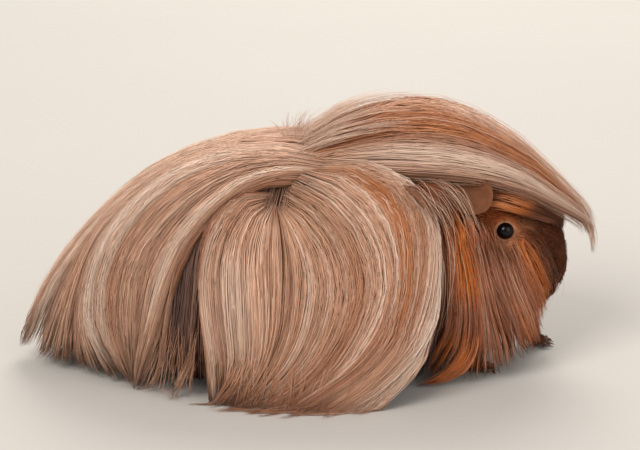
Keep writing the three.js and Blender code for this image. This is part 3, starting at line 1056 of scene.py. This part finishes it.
# Over the hem the foremost locks are swept back along the floor, ending in thin brown wisps.
CURL_PATHS = [
    [(40, 38), (40, 24), (28, 13), (8, 5), (-20, -3), (-38, -8)],
    [(50, 32), (47, 19), (34, 10), (12, 3), (-12, -4), (-28, -9)],
    [(60, 28), (54, 15), (40, 7), (22, 1), (2, -5), (-12, -9)],
    [(68, 26), (62, 12), (50, 5), (36, 0), (18, -4), (6, -7)],
]
WISP_PATHS = [
    [(-36, 14), (-39, 6), (-46, 0), (-60, -6)],
    [(-20, 13), (-24, 5), (-32, -3), (-44, -12)],
    [(-4, 13), (-9, 5), (-16, -4), (-26, -13)],
    [(10, 12), (5, 4), (-1, -4), (-6, -13)],
    [(22, 12), (17, 4), (13, -3), (13, -12)],
    [(38, 12), (31, 4), (22, -2), (12, -9)],
    [(52, 12), (46, 4), (38, -1), (28, -6)],
]
GAP_PATHS = [
    [(-76, 28), (-78, 15), (-85, 4), (-99, -7)],
    [(-65, 22), (-66, 12), (-70, 3), (-79, -8)],
    [(-54, 18), (-55, 9), (-57, 2), (-57, -8)],
]


fan_colours = long_coat_colours(FAN_GINGER, FAN_CREAM, FAN_BROWN)
curl_colours = long_coat_colours(
    [(0.4, 0.4, 0.4, 0.0, 1.0)], [(2.6, 0.4, 0.7, 0.0, 0.8)], [(1.5, 2.0, 0.7, 0.6, 1.4)]
)
wisp_colours = long_coat_colours(
    [(2.0, 3.0, 0.4, 0.0, 1.2)], [], [(2.0, 4.0, 0.75, 0.35, 1.4)], cream_most=0.35
)
gap_colours = long_coat_colours([], [], [(1.2, 3.0, 0.6, 0.0, 0.5)], cream_most=0.25)
# For each comb at the hem: paths, strand width, colours, and how it is combed.
HEM_HAIR = [
    ("hem_curls", CURL_PATHS, 0.5, curl_colours,
     dict(count=420, per_lock=28, steps=9, roots=(0, 0.4), tips=(0.7, 1.0), level=(0.2, 1.4),
          stray=0.15, squeeze=0.3)),
    ("hem_wisps", WISP_PATHS, 0.36, wisp_colours,
     dict(count=480, per_lock=9, steps=7, roots=(0, 0.45), tips=(0.5, 1.0), level=(-0.6, 1.6),
          stray=0.45, wander=1.6)),
    ("gap_wisps", GAP_PATHS, 0.34, gap_colours,
     dict(count=100, per_lock=5, steps=7, roots=(0, 0.5), tips=(0.6, 1.0), level=(-5, -1.5),
          stray=0.5, wander=1.6, fill=0)),
]
for side, label, rng in both_sides(21):
    comb = comb_locks(
        rng, FAN_PATHS, count=4650, per_lock=34, steps=9, roots=(0, 0.55), tips=(0.86, 1.02)
    )
    # One comb in two pieces, because one piece would be too large.
    rear = comb["across"][:, 0] < 4.2
    for name, strands, replaced in (
        ("flank_coat", rear, [f"sweep_{label}"]),
        ("shoulder_coat", ~rear, []),
    ):
        lay(f"{name}_{label}", part_of(comb, strands), fan_surface, FAN_STRAND, fan_colours,
            top_hair, side, replaced=replaced)
    for name, paths, width, colouring, style in HEM_HAIR:
        comb = comb_locks(rng, paths, **style)
        lay(f"{name}_{label}", comb, on_coat(paths), width, colouring, top_hair, side)

# ------------------------------------------------------------------ rump coat and train
# From the second whorl the hair is swept back over the rump. Its front lock lies over the side
# coat, and the rest falls in long bows to the floor behind, where it trails.
RUMP_PATHS = [
    [(-4, 64), (-24, 62), (-42, 53), (-57, 42), (-66, 30), (-73, 17), (-84, 1)],
    [(14, 69), (-13, 68), (-38, 59), (-58, 47), (-69, 34), (-76, 20), (-87, -2)],
    [(15, 71), (-16, 74), (-46, 70), (-71, 60), (-89, 45), (-93, 24), (-86, 1)],
    [(17, 75), (-19, 80), (-54, 82), (-84, 75), (-104, 55), (-110, 24), (-94, 1)],
    [(18, 79), (-18, 85), (-52, 87), (-82, 83), (-106, 71), (-121, 42), (-132, 4)],
    [(18, 84), (-17, 88), (-52, 89), (-84, 88), (-111, 83), (-131, 68), (-146, 30)],
    [(18, 90), (-17, 90), (-52, 90), (-84, 90), (-112, 90), (-134, 90), (-149, 86)],
]
RUMP_GINGER = [(0.2, 0.5, 0.6, 0.0, 0.7), (2.3, 0.15, 0.35, 0.3, 0.9), (4.2, 0.2, 0.3, 0.2, 0.8)]
RUMP_CREAM = [
    (1.1, 0.16, 0.7, 0.05, 0.8),
    (3.0, 0.25, 0.95, 0.25, 0.95),
    (2.5, 0.12, 0.7, 0.25, 0.9),
    (3.6, 1.2, 0.35, 0.1, 0.7),
    (4.9, 0.3, 0.8, 0.25, 1.2),
    (5.7, 0.3, 0.35, 0.0, 0.8),
    (3.0, 9.0, 0.08, -1.0, 2.0),
]
RUMP_BROWN = [
    (0.1, 0.5, 0.6, 0.0, 0.8),
    (1.55, 0.1, 0.5, 0.1, 0.9),
    (3.65, 0.12, 0.6, 0.4, 1.2),
    (2.0, 0.05, 0.4, 0.2, 0.9),
    (4.3, 0.1, 0.4, 0.5, 1.2),
]


def rump_surface(across, along):
    """Along the rump, whose foremost lock lies proud and shades the hollow under it."""
    q = on_paths(RUMP_PATHS, across, along)
    points, out = coat_at(q[..., 0], q[..., 1])
    edge = 2.6 * np.exp(-(((across - 1.1) / 0.35) ** 2)) * smooth_step(along, 0.05, 0.3)
    sunk = 3.0 * (1 - smooth_step(across, 0.5, 0.9))
    return points + out * (edge - sunk)[..., None], out


rump_colours = long_coat_colours(
    RUMP_GINGER, RUMP_CREAM, RUMP_BROWN, cream_most=0.45, brown_most=0.3
)
for side, label, rng in both_sides(31):
    comb = comb_locks(
        rng, RUMP_PATHS, count=2850, per_lock=30, steps=9, roots=(0, 0.6), tips=(0.86, 1.02)
    )
    lay(f"rump_coat_{label}", comb, rump_surface, 0.56, rump_colours, top_hair, side,
        replaced=["train"] if label == "right" else ())

# ------------------------------------------------------------------ forelock
# A thick crest of long hair rises behind the ears, sweeps forward over the brow and ends in a
# point before the nose. Its strands run along it, over and under.
# The crest's outline: x, top, bottom and half width, from its root to its tip.
FORELOCK = np.array(
    [
        (11, 119, 119, 0),
        (17, 125.5, 110, 15),
        (30, 135, 105, 26),
        (48, 139.5, 103, 31),
        (66, 139, 102.5, 33),
        (82, 134.5, 102, 32),
        (98, 125.5, 99.5, 28),
        (113, 115, 94, 21.5),
        (127, 100.5, 86.5, 14),
        (139, 88, 80, 7.5),
        (146, 80, 74.5, 3.5),
        (149, 69, 69, 0),
    ]
)
FORELOCK_WAIST = 0.3  # share of its height at which it is widest
AROUND = (0, 1)  # across runs once round it


def forelock_outline(along):
    """Its x, top, bottom, half width, and the height at which it is widest."""
    i, weights = neighbours(along * (len(FORELOCK) - 1), len(FORELOCK))
    x, top, bottom, half = np.moveaxis((FORELOCK[i] * weights[..., None]).sum(-2), -1, 0)
    return x, top, bottom, half, bottom + FORELOCK_WAIST * (top - bottom)


def forelock_face(around, along):
    """around is 0 under it, 0.25 at the left, 0.5 on top and 0.75 at the right."""
    x, top, bottom, half, level = forelock_outline(along)
    half = np.maximum(half, 1.5)
    up = -np.cos(2 * np.pi * around)
    height = np.maximum(np.where(up > 0, top - level, level - bottom), 1.5)
    y = half * bent(np.sin(2 * np.pi * around), 0.9)
    return np.stack([x + SHIFT, y, level + height * bent(up, 0.9)], -1)


def forelock_surface(across, along):
    """Along the forelock's face, drawn together at the root to the crown's parting."""
    points = forelock_face(across, along)
    over_around = forelock_face(across + 0.004, along) - forelock_face(across - 0.004, along)
    over_along = forelock_face(across, along + 0.004) - forelock_face(across, along - 0.004)
    out = unit(np.cross(over_around, over_along))
    level = forelock_outline(along)[-1]
    middle = np.stack([points[..., 0], 0 * points[..., 1], level], -1)
    out = out * np.sign(((points - middle) * out).sum(-1, keepdims=True) + 1e-9)
    off_top = np.clip(across - 0.5, -0.42, 0.42)
    under = smooth_step(np.abs(off_top), 0.26, 0.42)
    crown, crown_out = coat_at(-2 + 52 * under, 90 - 88 * off_top)
    share = smooth_step(along, 0.0, 0.26)[..., None]
    return crown + (points - crown) * share, unit(crown_out + (out - crown_out) * share)


FORELOCK_CREAM = [
    (0.71, 0.045, 0.75, 0.2, 1.0),
    (0.29, 0.045, 0.75, 0.2, 1.0),
    (0.5, 0.05, 0.5, 0.4, 1.0),
]
FORELOCK_GINGER = [
    (0.6, 0.08, 0.9, 0.05, 0.75),
    (0.4, 0.08, 0.9, 0.05, 0.75),
    (0.64, 0.03, 0.6, 0.1, 0.9),
]
FORELOCK_BROWN = [
    # painted shade: the underside of the forelock darkened on both sides
    (0.0, 0.12, 0.85, 0.0, 1.2),
    (1.0, 0.12, 0.85, 0.0, 1.2),
    (0.78, 0.03, 0.6, 0.2, 1.2),
    (0.22, 0.03, 0.6, 0.2, 1.2),
    (0.66, 0.02, 0.5, 0.15, 0.6),
]
forelock_colours = long_coat_colours(
    FORELOCK_GINGER, FORELOCK_CREAM, FORELOCK_BROWN, cream_most=0.4, brown_most=0.3
)
comb = comb_locks(
    np.random.default_rng(41), AROUND, count=3000, per_lock=34, steps=9, roots=(0.0, 0.5),
    tips=(0.86, 1.0), level=(-1.6, 0.4), squeeze=0.4, lift=2.5,
)
lay("forelock_hair", comb, forelock_surface, 0.56, forelock_colours, top_hair,
    replaced=["forelock"])

# ------------------------------------------------------------------ neck and cheek hair
# Behind the ear, loose hair falls from under the forelock over the neck. Below the cheek a
# long russet beard hangs to the floor beside the throat.
NECK_PATHS = [
    [(48, 37, 108), (57, 45, 102), (65, 48, 90), (70, 48, 74), (72, 46, 57)],
    [(57, 34, 108), (67, 42, 104), (75, 44, 96), (80, 44, 84), (82, 42, 70)],
    [(68, 30, 107), (76, 37, 105), (82, 40, 100), (86, 41, 91), (88, 39, 80)],
]
THROAT_PATHS = [
    [(52, 40, 104), (56, 43, 84), (60, 44, 60), (60, 43, 32), (54, 41, 2)],
    [(62, 38, 104), (66, 42, 84), (70, 43, 60), (70, 41, 32), (64, 39, 2)],
    [(72, 34, 102), (77, 38, 84), (80, 39, 62), (79, 38, 34), (74, 36, 3)],
    [(84, 28, 98), (88, 34, 82), (90, 35, 64), (89, 35, 38), (86, 33, 8)],
    [(96, 25, 86), (100, 29, 70), (102, 30, 50), (101, 30, 31), (98, 28, 12)],
]
CHEEK_PATHS = [
    [(71, 39, 82), (73, 41, 66), (73, 41, 50), (73, 41, 35), (68, 42, 20), (58, 44, 3)],
    [(77, 38, 83), (80, 40, 66), (82, 41, 51), (83, 41, 36), (80, 41, 19), (70, 42, 2)],
    [(82, 37, 82), (86, 39, 66), (89, 40, 50), (91, 40, 33), (92, 39, 17), (91, 38, 1)],
    [(89, 35, 82), (92, 37, 67), (95, 37, 53), (99, 36, 38), (104, 35, 22), (107, 33, 5)],
    [(96, 33, 80), (100, 33, 66), (103, 33, 54), (108, 32, 41), (113, 31, 28), (118, 29, 14)],
    [(105, 29, 74), (109, 29, 62), (112, 28, 51), (116, 27, 40), (120, 25, 29), (123, 23, 17)],
    [(109, 28, 74), (112, 27, 66), (116, 25, 57), (120, 22, 48), (123, 20, 40), (124, 18, 30)],
    [(111, 28, 73), (115, 26, 65), (118, 24, 57), (121.5, 21, 49), (123.5, 19, 41), (123, 17, 33)],
]
MUZZLE_PATHS = [
    [(107, 27, 76), (110, 26, 67), (113, 25, 58), (117, 23, 49), (120, 21, 40), (121, 19, 31)],
    [
        (111, 25.5, 75), (115, 25, 67), (118.5, 23, 59),
        (122, 20.5, 51), (124.5, 18, 43), (124, 15, 35),
    ],
    [
        (115, 22.5, 76), (119.5, 21.5, 68), (123, 20, 60),
        (126, 17.5, 52), (128, 14, 44), (127, 11, 37),
    ],
    [
        (120, 18, 77), (124.5, 17, 69), (128.5, 15.5, 61),
        (131, 13.2, 53), (132, 9.5, 46), (131, 7, 40),
    ],
]
RUSSET_PATHS = [
    [(83, 41, 38), (82, 42, 24), (76, 43, 13), (66, 44, 5), (55, 46, 0.6)],
    [(90, 40, 34), (89, 41, 20), (84, 42, 10), (75, 43, 3), (62, 44, 0.6)],
]
FRINGE_PATHS = [
    [(90, 31, 97), (100, 29, 93), (110, 25.5, 88.5), (119, 20, 84), (127, 14, 80), (132, 9, 75)],
    [
        (96, 21, 102), (108, 19, 98), (118, 15, 93),
        (125, 11, 87), (130, 7.5, 80.5), (132.5, 5.5, 73),
    ],
    [(100, 11, 102), (114, 10, 97), (124, 8, 91), (130, 6, 84), (133, 4, 78), (134, 3, 71)],
    [
        (100, 1, 104), (115, 1, 98), (126, 1, 92),
        (131.5, 0.8, 85), (134, 0.6, 78.5), (134.5, 0.5, 71),
    ],
]
# Loose ends: behind the forelock's rise, and at its tip.
CREST_PATHS = [
    [(-8, 22, 116), (4, 22, 120), (20, 25, 126), (40, 29, 130), (60, 31, 130)],
    [(-6, 12, 120), (6, 12, 125), (20, 13, 133), (40, 14, 139), (62, 15, 140)],
    [(-4, 1, 122), (8, 1, 128), (21, 1, 136), (40, 1, 142), (64, 1, 143)],
]
SHOULDER_PATHS = [
    [(52, 51, 92), (53, 55, 62), (51, 55, 32), (44, 50, 1.5)],
    [(55, 47, 98), (58, 50, 64), (56, 49, 32), (49, 46, 1.5)],
    [(60, 42, 100), (65, 43, 64), (63, 42, 32), (56, 40, 1.5)],
]
EDGE_PATHS = [
    [(58, 51, 104), (64, 51, 84), (67, 50, 60), (66, 49, 36), (60, 48, 12)],
    [(64, 47, 106), (74, 48, 90), (78, 47, 70), (74, 47, 48), (66, 47, 28)],
]
CROWN_PATHS = [
    [(-6, 26, 112), (-6, 25, 118), (-2, 24, 124), (6, 24, 128)],
    [(2, 14, 114), (3, 13, 122), (7, 12, 129), (15, 12, 134)],
    [(-2, 6, 115), (-3, 6, 122), (-2, 6, 129), (3, 6, 136)],
    [(-6, 1, 115), (-9, 1, 121), (-14, 1, 127), (-20, 1, 130)],
]
TIP_PATHS = [
    [(128, 12, 94), (138, 8, 85), (145, 5, 76), (149, 3.5, 66), (150, 2.5, 57)],
    [(132, 1, 99), (141, 1, 89), (147, 1, 79), (151, 0.6, 68), (152, 0.5, 57)],
]


def hanging_surface(paths):
    """The face that hanging hair lies in, for hair whose paths are points in space."""
    right = np.array(paths, float) * (1, -1, 1)

    def surface(across, along):
        over_across = on_paths(right, across + 0.02, along) - on_paths(right, across - 0.02, along)
        over_along = on_paths(right, across, along + 0.02) - on_paths(right, across, along - 0.02)
        out = unit(np.cross(over_across, over_along))
        return on_paths(right, across, along), out * -np.sign(out[..., 1:2] + 1e-9)

    return surface


CHEEK_GINGER = [
    (6.6, 0.9, 1.0, 0.0, 1.2),
    (1.3, 0.9, 0.95, 0.05, 0.45),
    (0.6, 0.8, 0.8, 0.7, 1.2),
    (4.4, 0.5, 0.5, 0.6, 1.0),
]
CHEEK_PALE = [(2.2, 0.12, 0.6, 0.3, 1.2), (3.6, 0.1, 0.4, 0.2, 0.9), (4.4, 0.15, 0.5, 0.2, 0.8)]
CHEEK_BROWN = [(3.4, 0.3, 0.4, 0.4, 1.2), (4.0, 1.5, 0.75, -1.0, 0.24)]
cheek_colours = long_coat_colours(
    CHEEK_GINGER, CHEEK_PALE, CHEEK_BROWN, cream_most=0.75, brown_most=0.25
)
neck_colours = long_coat_colours(
    [],
    [(0.1, 0.3, 0.3, 0.0, 1.0)],
    [(1.0, 3.0, 0.45, 0.0, 1.2), (1.6, 0.5, 0.6, 0.3, 1.2)],
    cream_most=0.15,
)
throat_colours = long_coat_colours(
    [(2.2, 0.6, 0.8, 0.15, 0.6)], [], [(0.5, 1.2, 0.9, 0.0, 1.2)], cream_most=0.2
)
beard_colours = long_coat_colours(
    [(5.0, 2.5, 0.6, 0.0, 1.2)], [], [(3.0, 6.0, 0.6, 0.0, 1.2)], cream_most=0.1
)
russet_colours = long_coat_colours([(0.5, 0.8, 0.65, 0.0, 1.2)], [], [], cream_most=0.4)
fringe_colours = long_coat_colours(
    [(0.1, 0.8, 0.9, 0.0, 0.5)],
    [(0.3, 0.5, 0.3, 0.0, 0.35)],
    [(2.2, 1.4, 0.85, 0.1, 1.2), (0.6, 1.2, 0.85, 0.45, 1.2)],
    cream_most=0.3,
)
stray_colours = long_coat_colours([], [(1.0, 9.0, 0.5, -1.0, 2.0)], [], cream_most=0.9)
muzzle_colours = long_coat_colours(
    [(0.9, 0.8, 0.85, 0.1, 1.2)], [], [(2.8, 1.0, 0.9, -1.0, 1.2)], cream_most=0.25
)
cheek_fur = hair_material(
    "russet cheek hair",
    dict(base="#b26c4c", ginger="#dd7a28", pale="#d6ad93", brown="#522d19"),
    roughness=0.6,
    darkest=0.8,
    brightest=1.15,
    specular=0.25,
)
# For each comb: paths, strand width, colours, material, and how it is combed.
LOOSE_HAIR = [
    ("cheek_beard", CHEEK_PATHS, 0.28, cheek_colours, cheek_fur,
     dict(count=2600, per_lock=11, steps=7, roots=(0, 0.62), tips=(0.58, 1.0),
          level=(-2.5, 0.5), stray=0.3, crowd=0.7, squeeze=0.7, wander=2.2)),
    ("beard_under", CHEEK_PATHS, 0.5, beard_colours, cheek_fur,
     dict(count=420, per_lock=20, steps=6, roots=(0.2, 0.6), tips=(0.85, 1.0),
          level=(-6, -3), squeeze=0.2)),
    ("cheek_strays", CHEEK_PATHS, 0.18, stray_colours, cheek_fur,
     dict(count=70, per_lock=2, steps=7, roots=(0, 0.6), tips=(0.55, 1.0),
          level=(-0.5, 1.2), stray=0.9, wander=1.6, fill=0, lift=0.8)),
    ("throat_hair", THROAT_PATHS, 0.5, throat_colours, cheek_fur,
     dict(count=600, per_lock=22, steps=6, roots=(0, 0.6), tips=(0.8, 1.0),
          level=(-4, -1), crowd=1.0)),
    ("neck_hair", NECK_PATHS, 0.34, neck_colours, cheek_fur,
     dict(count=330, per_lock=8, steps=7, roots=(0, 0.3), tips=(0.2, 0.62),
          level=(-2, 0.5), stray=0.3, wander=0.8, fill=0)),
    ("neck_strays", NECK_PATHS, 0.26, stray_colours, top_hair,
     dict(count=36, per_lock=2, steps=8, roots=(0, 0.4), tips=(0.5, 1.0),
          level=(0.5, 2.5), stray=0.9, wander=2.0, fill=0, lift=1.5)),
    ("shoulder_under", SHOULDER_PATHS, 0.75, throat_colours, under_hair,
     dict(count=320, per_lock=20, steps=6, roots=(0, 0.5), tips=(0.85, 1.0),
          level=(-2, 1), crowd=1.0)),
    ("edge_strays", EDGE_PATHS, 0.26, stray_colours, top_hair,
     dict(count=26, per_lock=2, steps=8, roots=(0, 0.5), tips=(0.5, 1.0),
          level=(-1, 1.5), stray=0.9, wander=1.5, fill=0, lift=1.0)),
    ("russet_lock", RUSSET_PATHS, 0.34, russet_colours, cheek_fur,
     dict(count=110, per_lock=14, steps=8, roots=(0, 0.4), tips=(0.6, 1.0),
          level=(-2, 0.3), squeeze=0.2, wander=0.8)),
    ("brow_fringe", FRINGE_PATHS, 0.42, fringe_colours, cheek_fur,
     dict(count=560, per_lock=11, steps=7, roots=(0, 0.6), tips=(0.85, 1.0),
          level=(-1.5, 0.3), stray=0.1)),
    ("crest_wisps", CREST_PATHS, 0.3, stray_colours, top_hair,
     dict(count=170, per_lock=5, steps=8, roots=(0, 0.3), tips=(0.5, 1.0),
          level=(-3, 1.5), stray=0.4, wander=1.0, fill=0)),
    ("crown_wisps", CROWN_PATHS, 0.24, stray_colours, top_hair,
     dict(count=110, per_lock=2, steps=7, roots=(0, 0.2), tips=(0.4, 1.0),
          level=(-2, 1.5), stray=0.9, wander=1.6, fill=0, lift=1.0)),
    ("tip_wisps", TIP_PATHS, 0.34, stray_colours, top_hair,
     dict(count=60, per_lock=6, steps=7, roots=(0, 0.5), tips=(0.6, 1.0),
          level=(-1, 1), stray=0.3, wander=1.0, fill=0)),
    ("muzzle_edge", MUZZLE_PATHS, 0.26, muzzle_colours, cheek_fur,
     dict(count=360, per_lock=5, steps=5, roots=(0, 0.75), tips=(0.3, 1.0),
          level=(-1.5, 0.6), stray=0.4, crowd=1.0, wander=1.8, fill=0)),
]
for side, label, rng in both_sides(51):
    for name, paths, width, colouring, hair, style in LOOSE_HAIR:
        comb = comb_locks(rng, paths, **style)
        replaced = [f"cheek_hair_{label}"] if name == "cheek_beard" else ()
        lay(f"{name}_{label}", comb, hanging_surface(paths), width, colouring, hair, side,
            replaced)

# ------------------------------------------------------------------ short fur of face and feet
# Short fur lies back from the nose over the face, down the throat and down the legs. Small
# flat tufts, smallest at the nose and round the eyes, keep clear of the bare lids and nostrils.
FACE_TUFTS = 9000
LEG_TUFTS = 1200
FUR_STEPS = 4  # points along a tuft
FUR_CLEARANCE = 5.4  # mm from the eye's centre, within which there is no fur


def lie_of_fur(points):
    """The way the short fur points: back from the nose, and down on the cheek and throat."""
    back = unit(folded(points) - (150, 0, 62))
    down = np.array((0.15, 0.1, -1.0))
    droop = smooth_step(100 - points[:, 2], 24, 50) * 0.9
    way = unit(back * (1 - droop)[:, None] + down * droop[:, None])
    way[:, 1] *= np.where(points[:, 1] > 0, 1, -1)
    return way


def short_fur(name, chosen, count, seed, length, width):
    """Tufts at random places on the chosen part of the skin, in one piece of that name."""
    rng = np.random.default_rng(seed)
    mesh = skin.data
    mesh.calc_loop_triangles()
    corners = np.zeros(len(mesh.loop_triangles) * 3, int)
    mesh.loop_triangles.foreach_get("vertices", corners)
    points, outward = read_points(mesh)
    corners = corners.reshape(-1, 3)
    triangle = points[corners]
    edges = triangle[:, 1:] - triangle[:, :1]
    area = np.linalg.norm(np.cross(edges[:, 0], edges[:, 1]), axis=1)
    area = area * chosen(triangle.mean(1))
    pick = rng.choice(len(corners), count, p=area / area.sum())
    a, b = rng.uniform(0, 1, (2, count, 1))
    a, b = np.where(a + b > 1, 1 - a, a), np.where(a + b > 1, 1 - b, b)
    root = triangle[pick, 0] * (1 - a - b) + triangle[pick, 1] * a + triangle[pick, 2] * b
    out = unit(outward[corners[pick]].mean(1))
    way = lie_of_fur(root) + rng.normal(0, 0.12, (count, 3))
    flat = unit(way - out * (way * out).sum(1, keepdims=True))
    long = length(root) * rng.uniform(0.7, 1.3, count)
    s = np.linspace(0, 1, FUR_STEPS)
    reach = (long[:, None] * s)[..., None]
    arch = 0.4 * np.sin(np.pi * np.minimum(s * 0.7, 0.5)) - 0.16 * s**2
    rise = arch[None, :, None] * long[:, None, None]
    paths = root[:, None] - 0.25 * out[:, None] + flat[:, None] * reach + out[:, None] * rise
    lifted = np.broadcast_to(out[:, None], paths.shape)
    marks = face_marks(root, chance=rng.uniform(0, 1, count))
    marks = np.repeat(marks[:, None], FUR_STEPS, axis=1)
    widths = np.full(count, width)
    piece = tuft_mesh(name, paths, lifted, widths, marks, body_patch(root), short_hair)
    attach(piece, "root")


def on_head(points):
    """How thick the fur is at points of the head: none on the lids, nostrils, lips and ears."""
    clear_of_eye = smooth_step(eye_distance(points), FUR_CLEARANCE, LID_REACH)
    bare = np.maximum.reduce(nose_features(points))
    furred = (bare < 0.35) & ~on_ear(points)
    return (points[:, 0] > 68) * (points[:, 2] > 14) * clear_of_eye * furred


def on_legs(points):
    """The lower forelegs, and the hind feet under the coat, without their soles."""
    x, _, z = points.T
    fore = (z < 40) & (x > 74)
    hind = (z < 9) & (x < -15)
    return (fore | hind) & (z > 0.8)


def face_length(points):
    """Short at the nose and round the eyes, and longer towards the cheek."""
    from_eye = smooth_step(eye_distance(points), 6, 14)
    from_nose = smooth_step(140 - points[:, 0], 2, 22)
    return 2.2 + 3.8 * np.minimum(from_eye, from_nose)


def leg_length(points):
    return 3.2


short_hair = hair_material(
    "short face fur", FACE_COLOURS, roughness=0.7, darkest=0.62, brightest=1.4, specular=0.15
)
short_fur("face_fur", on_head, FACE_TUFTS, 61, face_length, 0.38)
short_fur("leg_fur", on_legs, LEG_TUFTS, 62, leg_length, 0.6)

# Whiskers: a few fine, pale bristles beside the nose, in rows, bent back.
WHISKERS = 10  # on each side
WHISKER_WIDTH = 0.1  # mm, which is as fine as it shows
WHISKER_ROOT = np.array((131.0, 9.0, 51.0))
WHISKER_WAY = np.array((0.25, 1.0, -0.12))
WHISKER_BEND = np.array((-9.0, 0.0, -5.0))
for side, label, rng in both_sides(71):
    spread = rng.uniform(-1, 1, (WHISKERS, 3))
    root = WHISKER_ROOT + spread * (3, 1.5, 4.5)
    way = unit(WHISKER_WAY + spread[:, [1, 0, 2]] * (0.3, 0.0, 0.45))
    long = rng.uniform(9, 19, WHISKERS)
    s = np.linspace(0, 1, 7)
    bend = WHISKER_BEND * (s**2)[None, :, None]
    bend = bend * rng.uniform(0.6, 1.4, WHISKERS)[:, None, None]
    points = root[:, None] + way[:, None] * (long[:, None] * s)[..., None] + bend
    points = points * (1, side, 1)
    marks = np.broadcast_to((0.0, 0.2, 0.0, 0.6), points.shape[:2] + (4,))
    upward = np.broadcast_to((0.0, 0.0, 1.0), points.shape)
    widths = np.full(WHISKERS, WHISKER_WIDTH)
    patch = body_patch(points[:, 0])
    piece = tuft_mesh(f"whiskers_{label}", points, upward, widths, marks, patch, cheek_fur)
    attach(piece, "root")

# ------------------------------------------------------------------ the size of the whole
boxes = {"cad": cad_box, "visual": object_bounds()}
plain = {name: [[float(v) for v in corner] for corner in box] for name, box in boxes.items()}
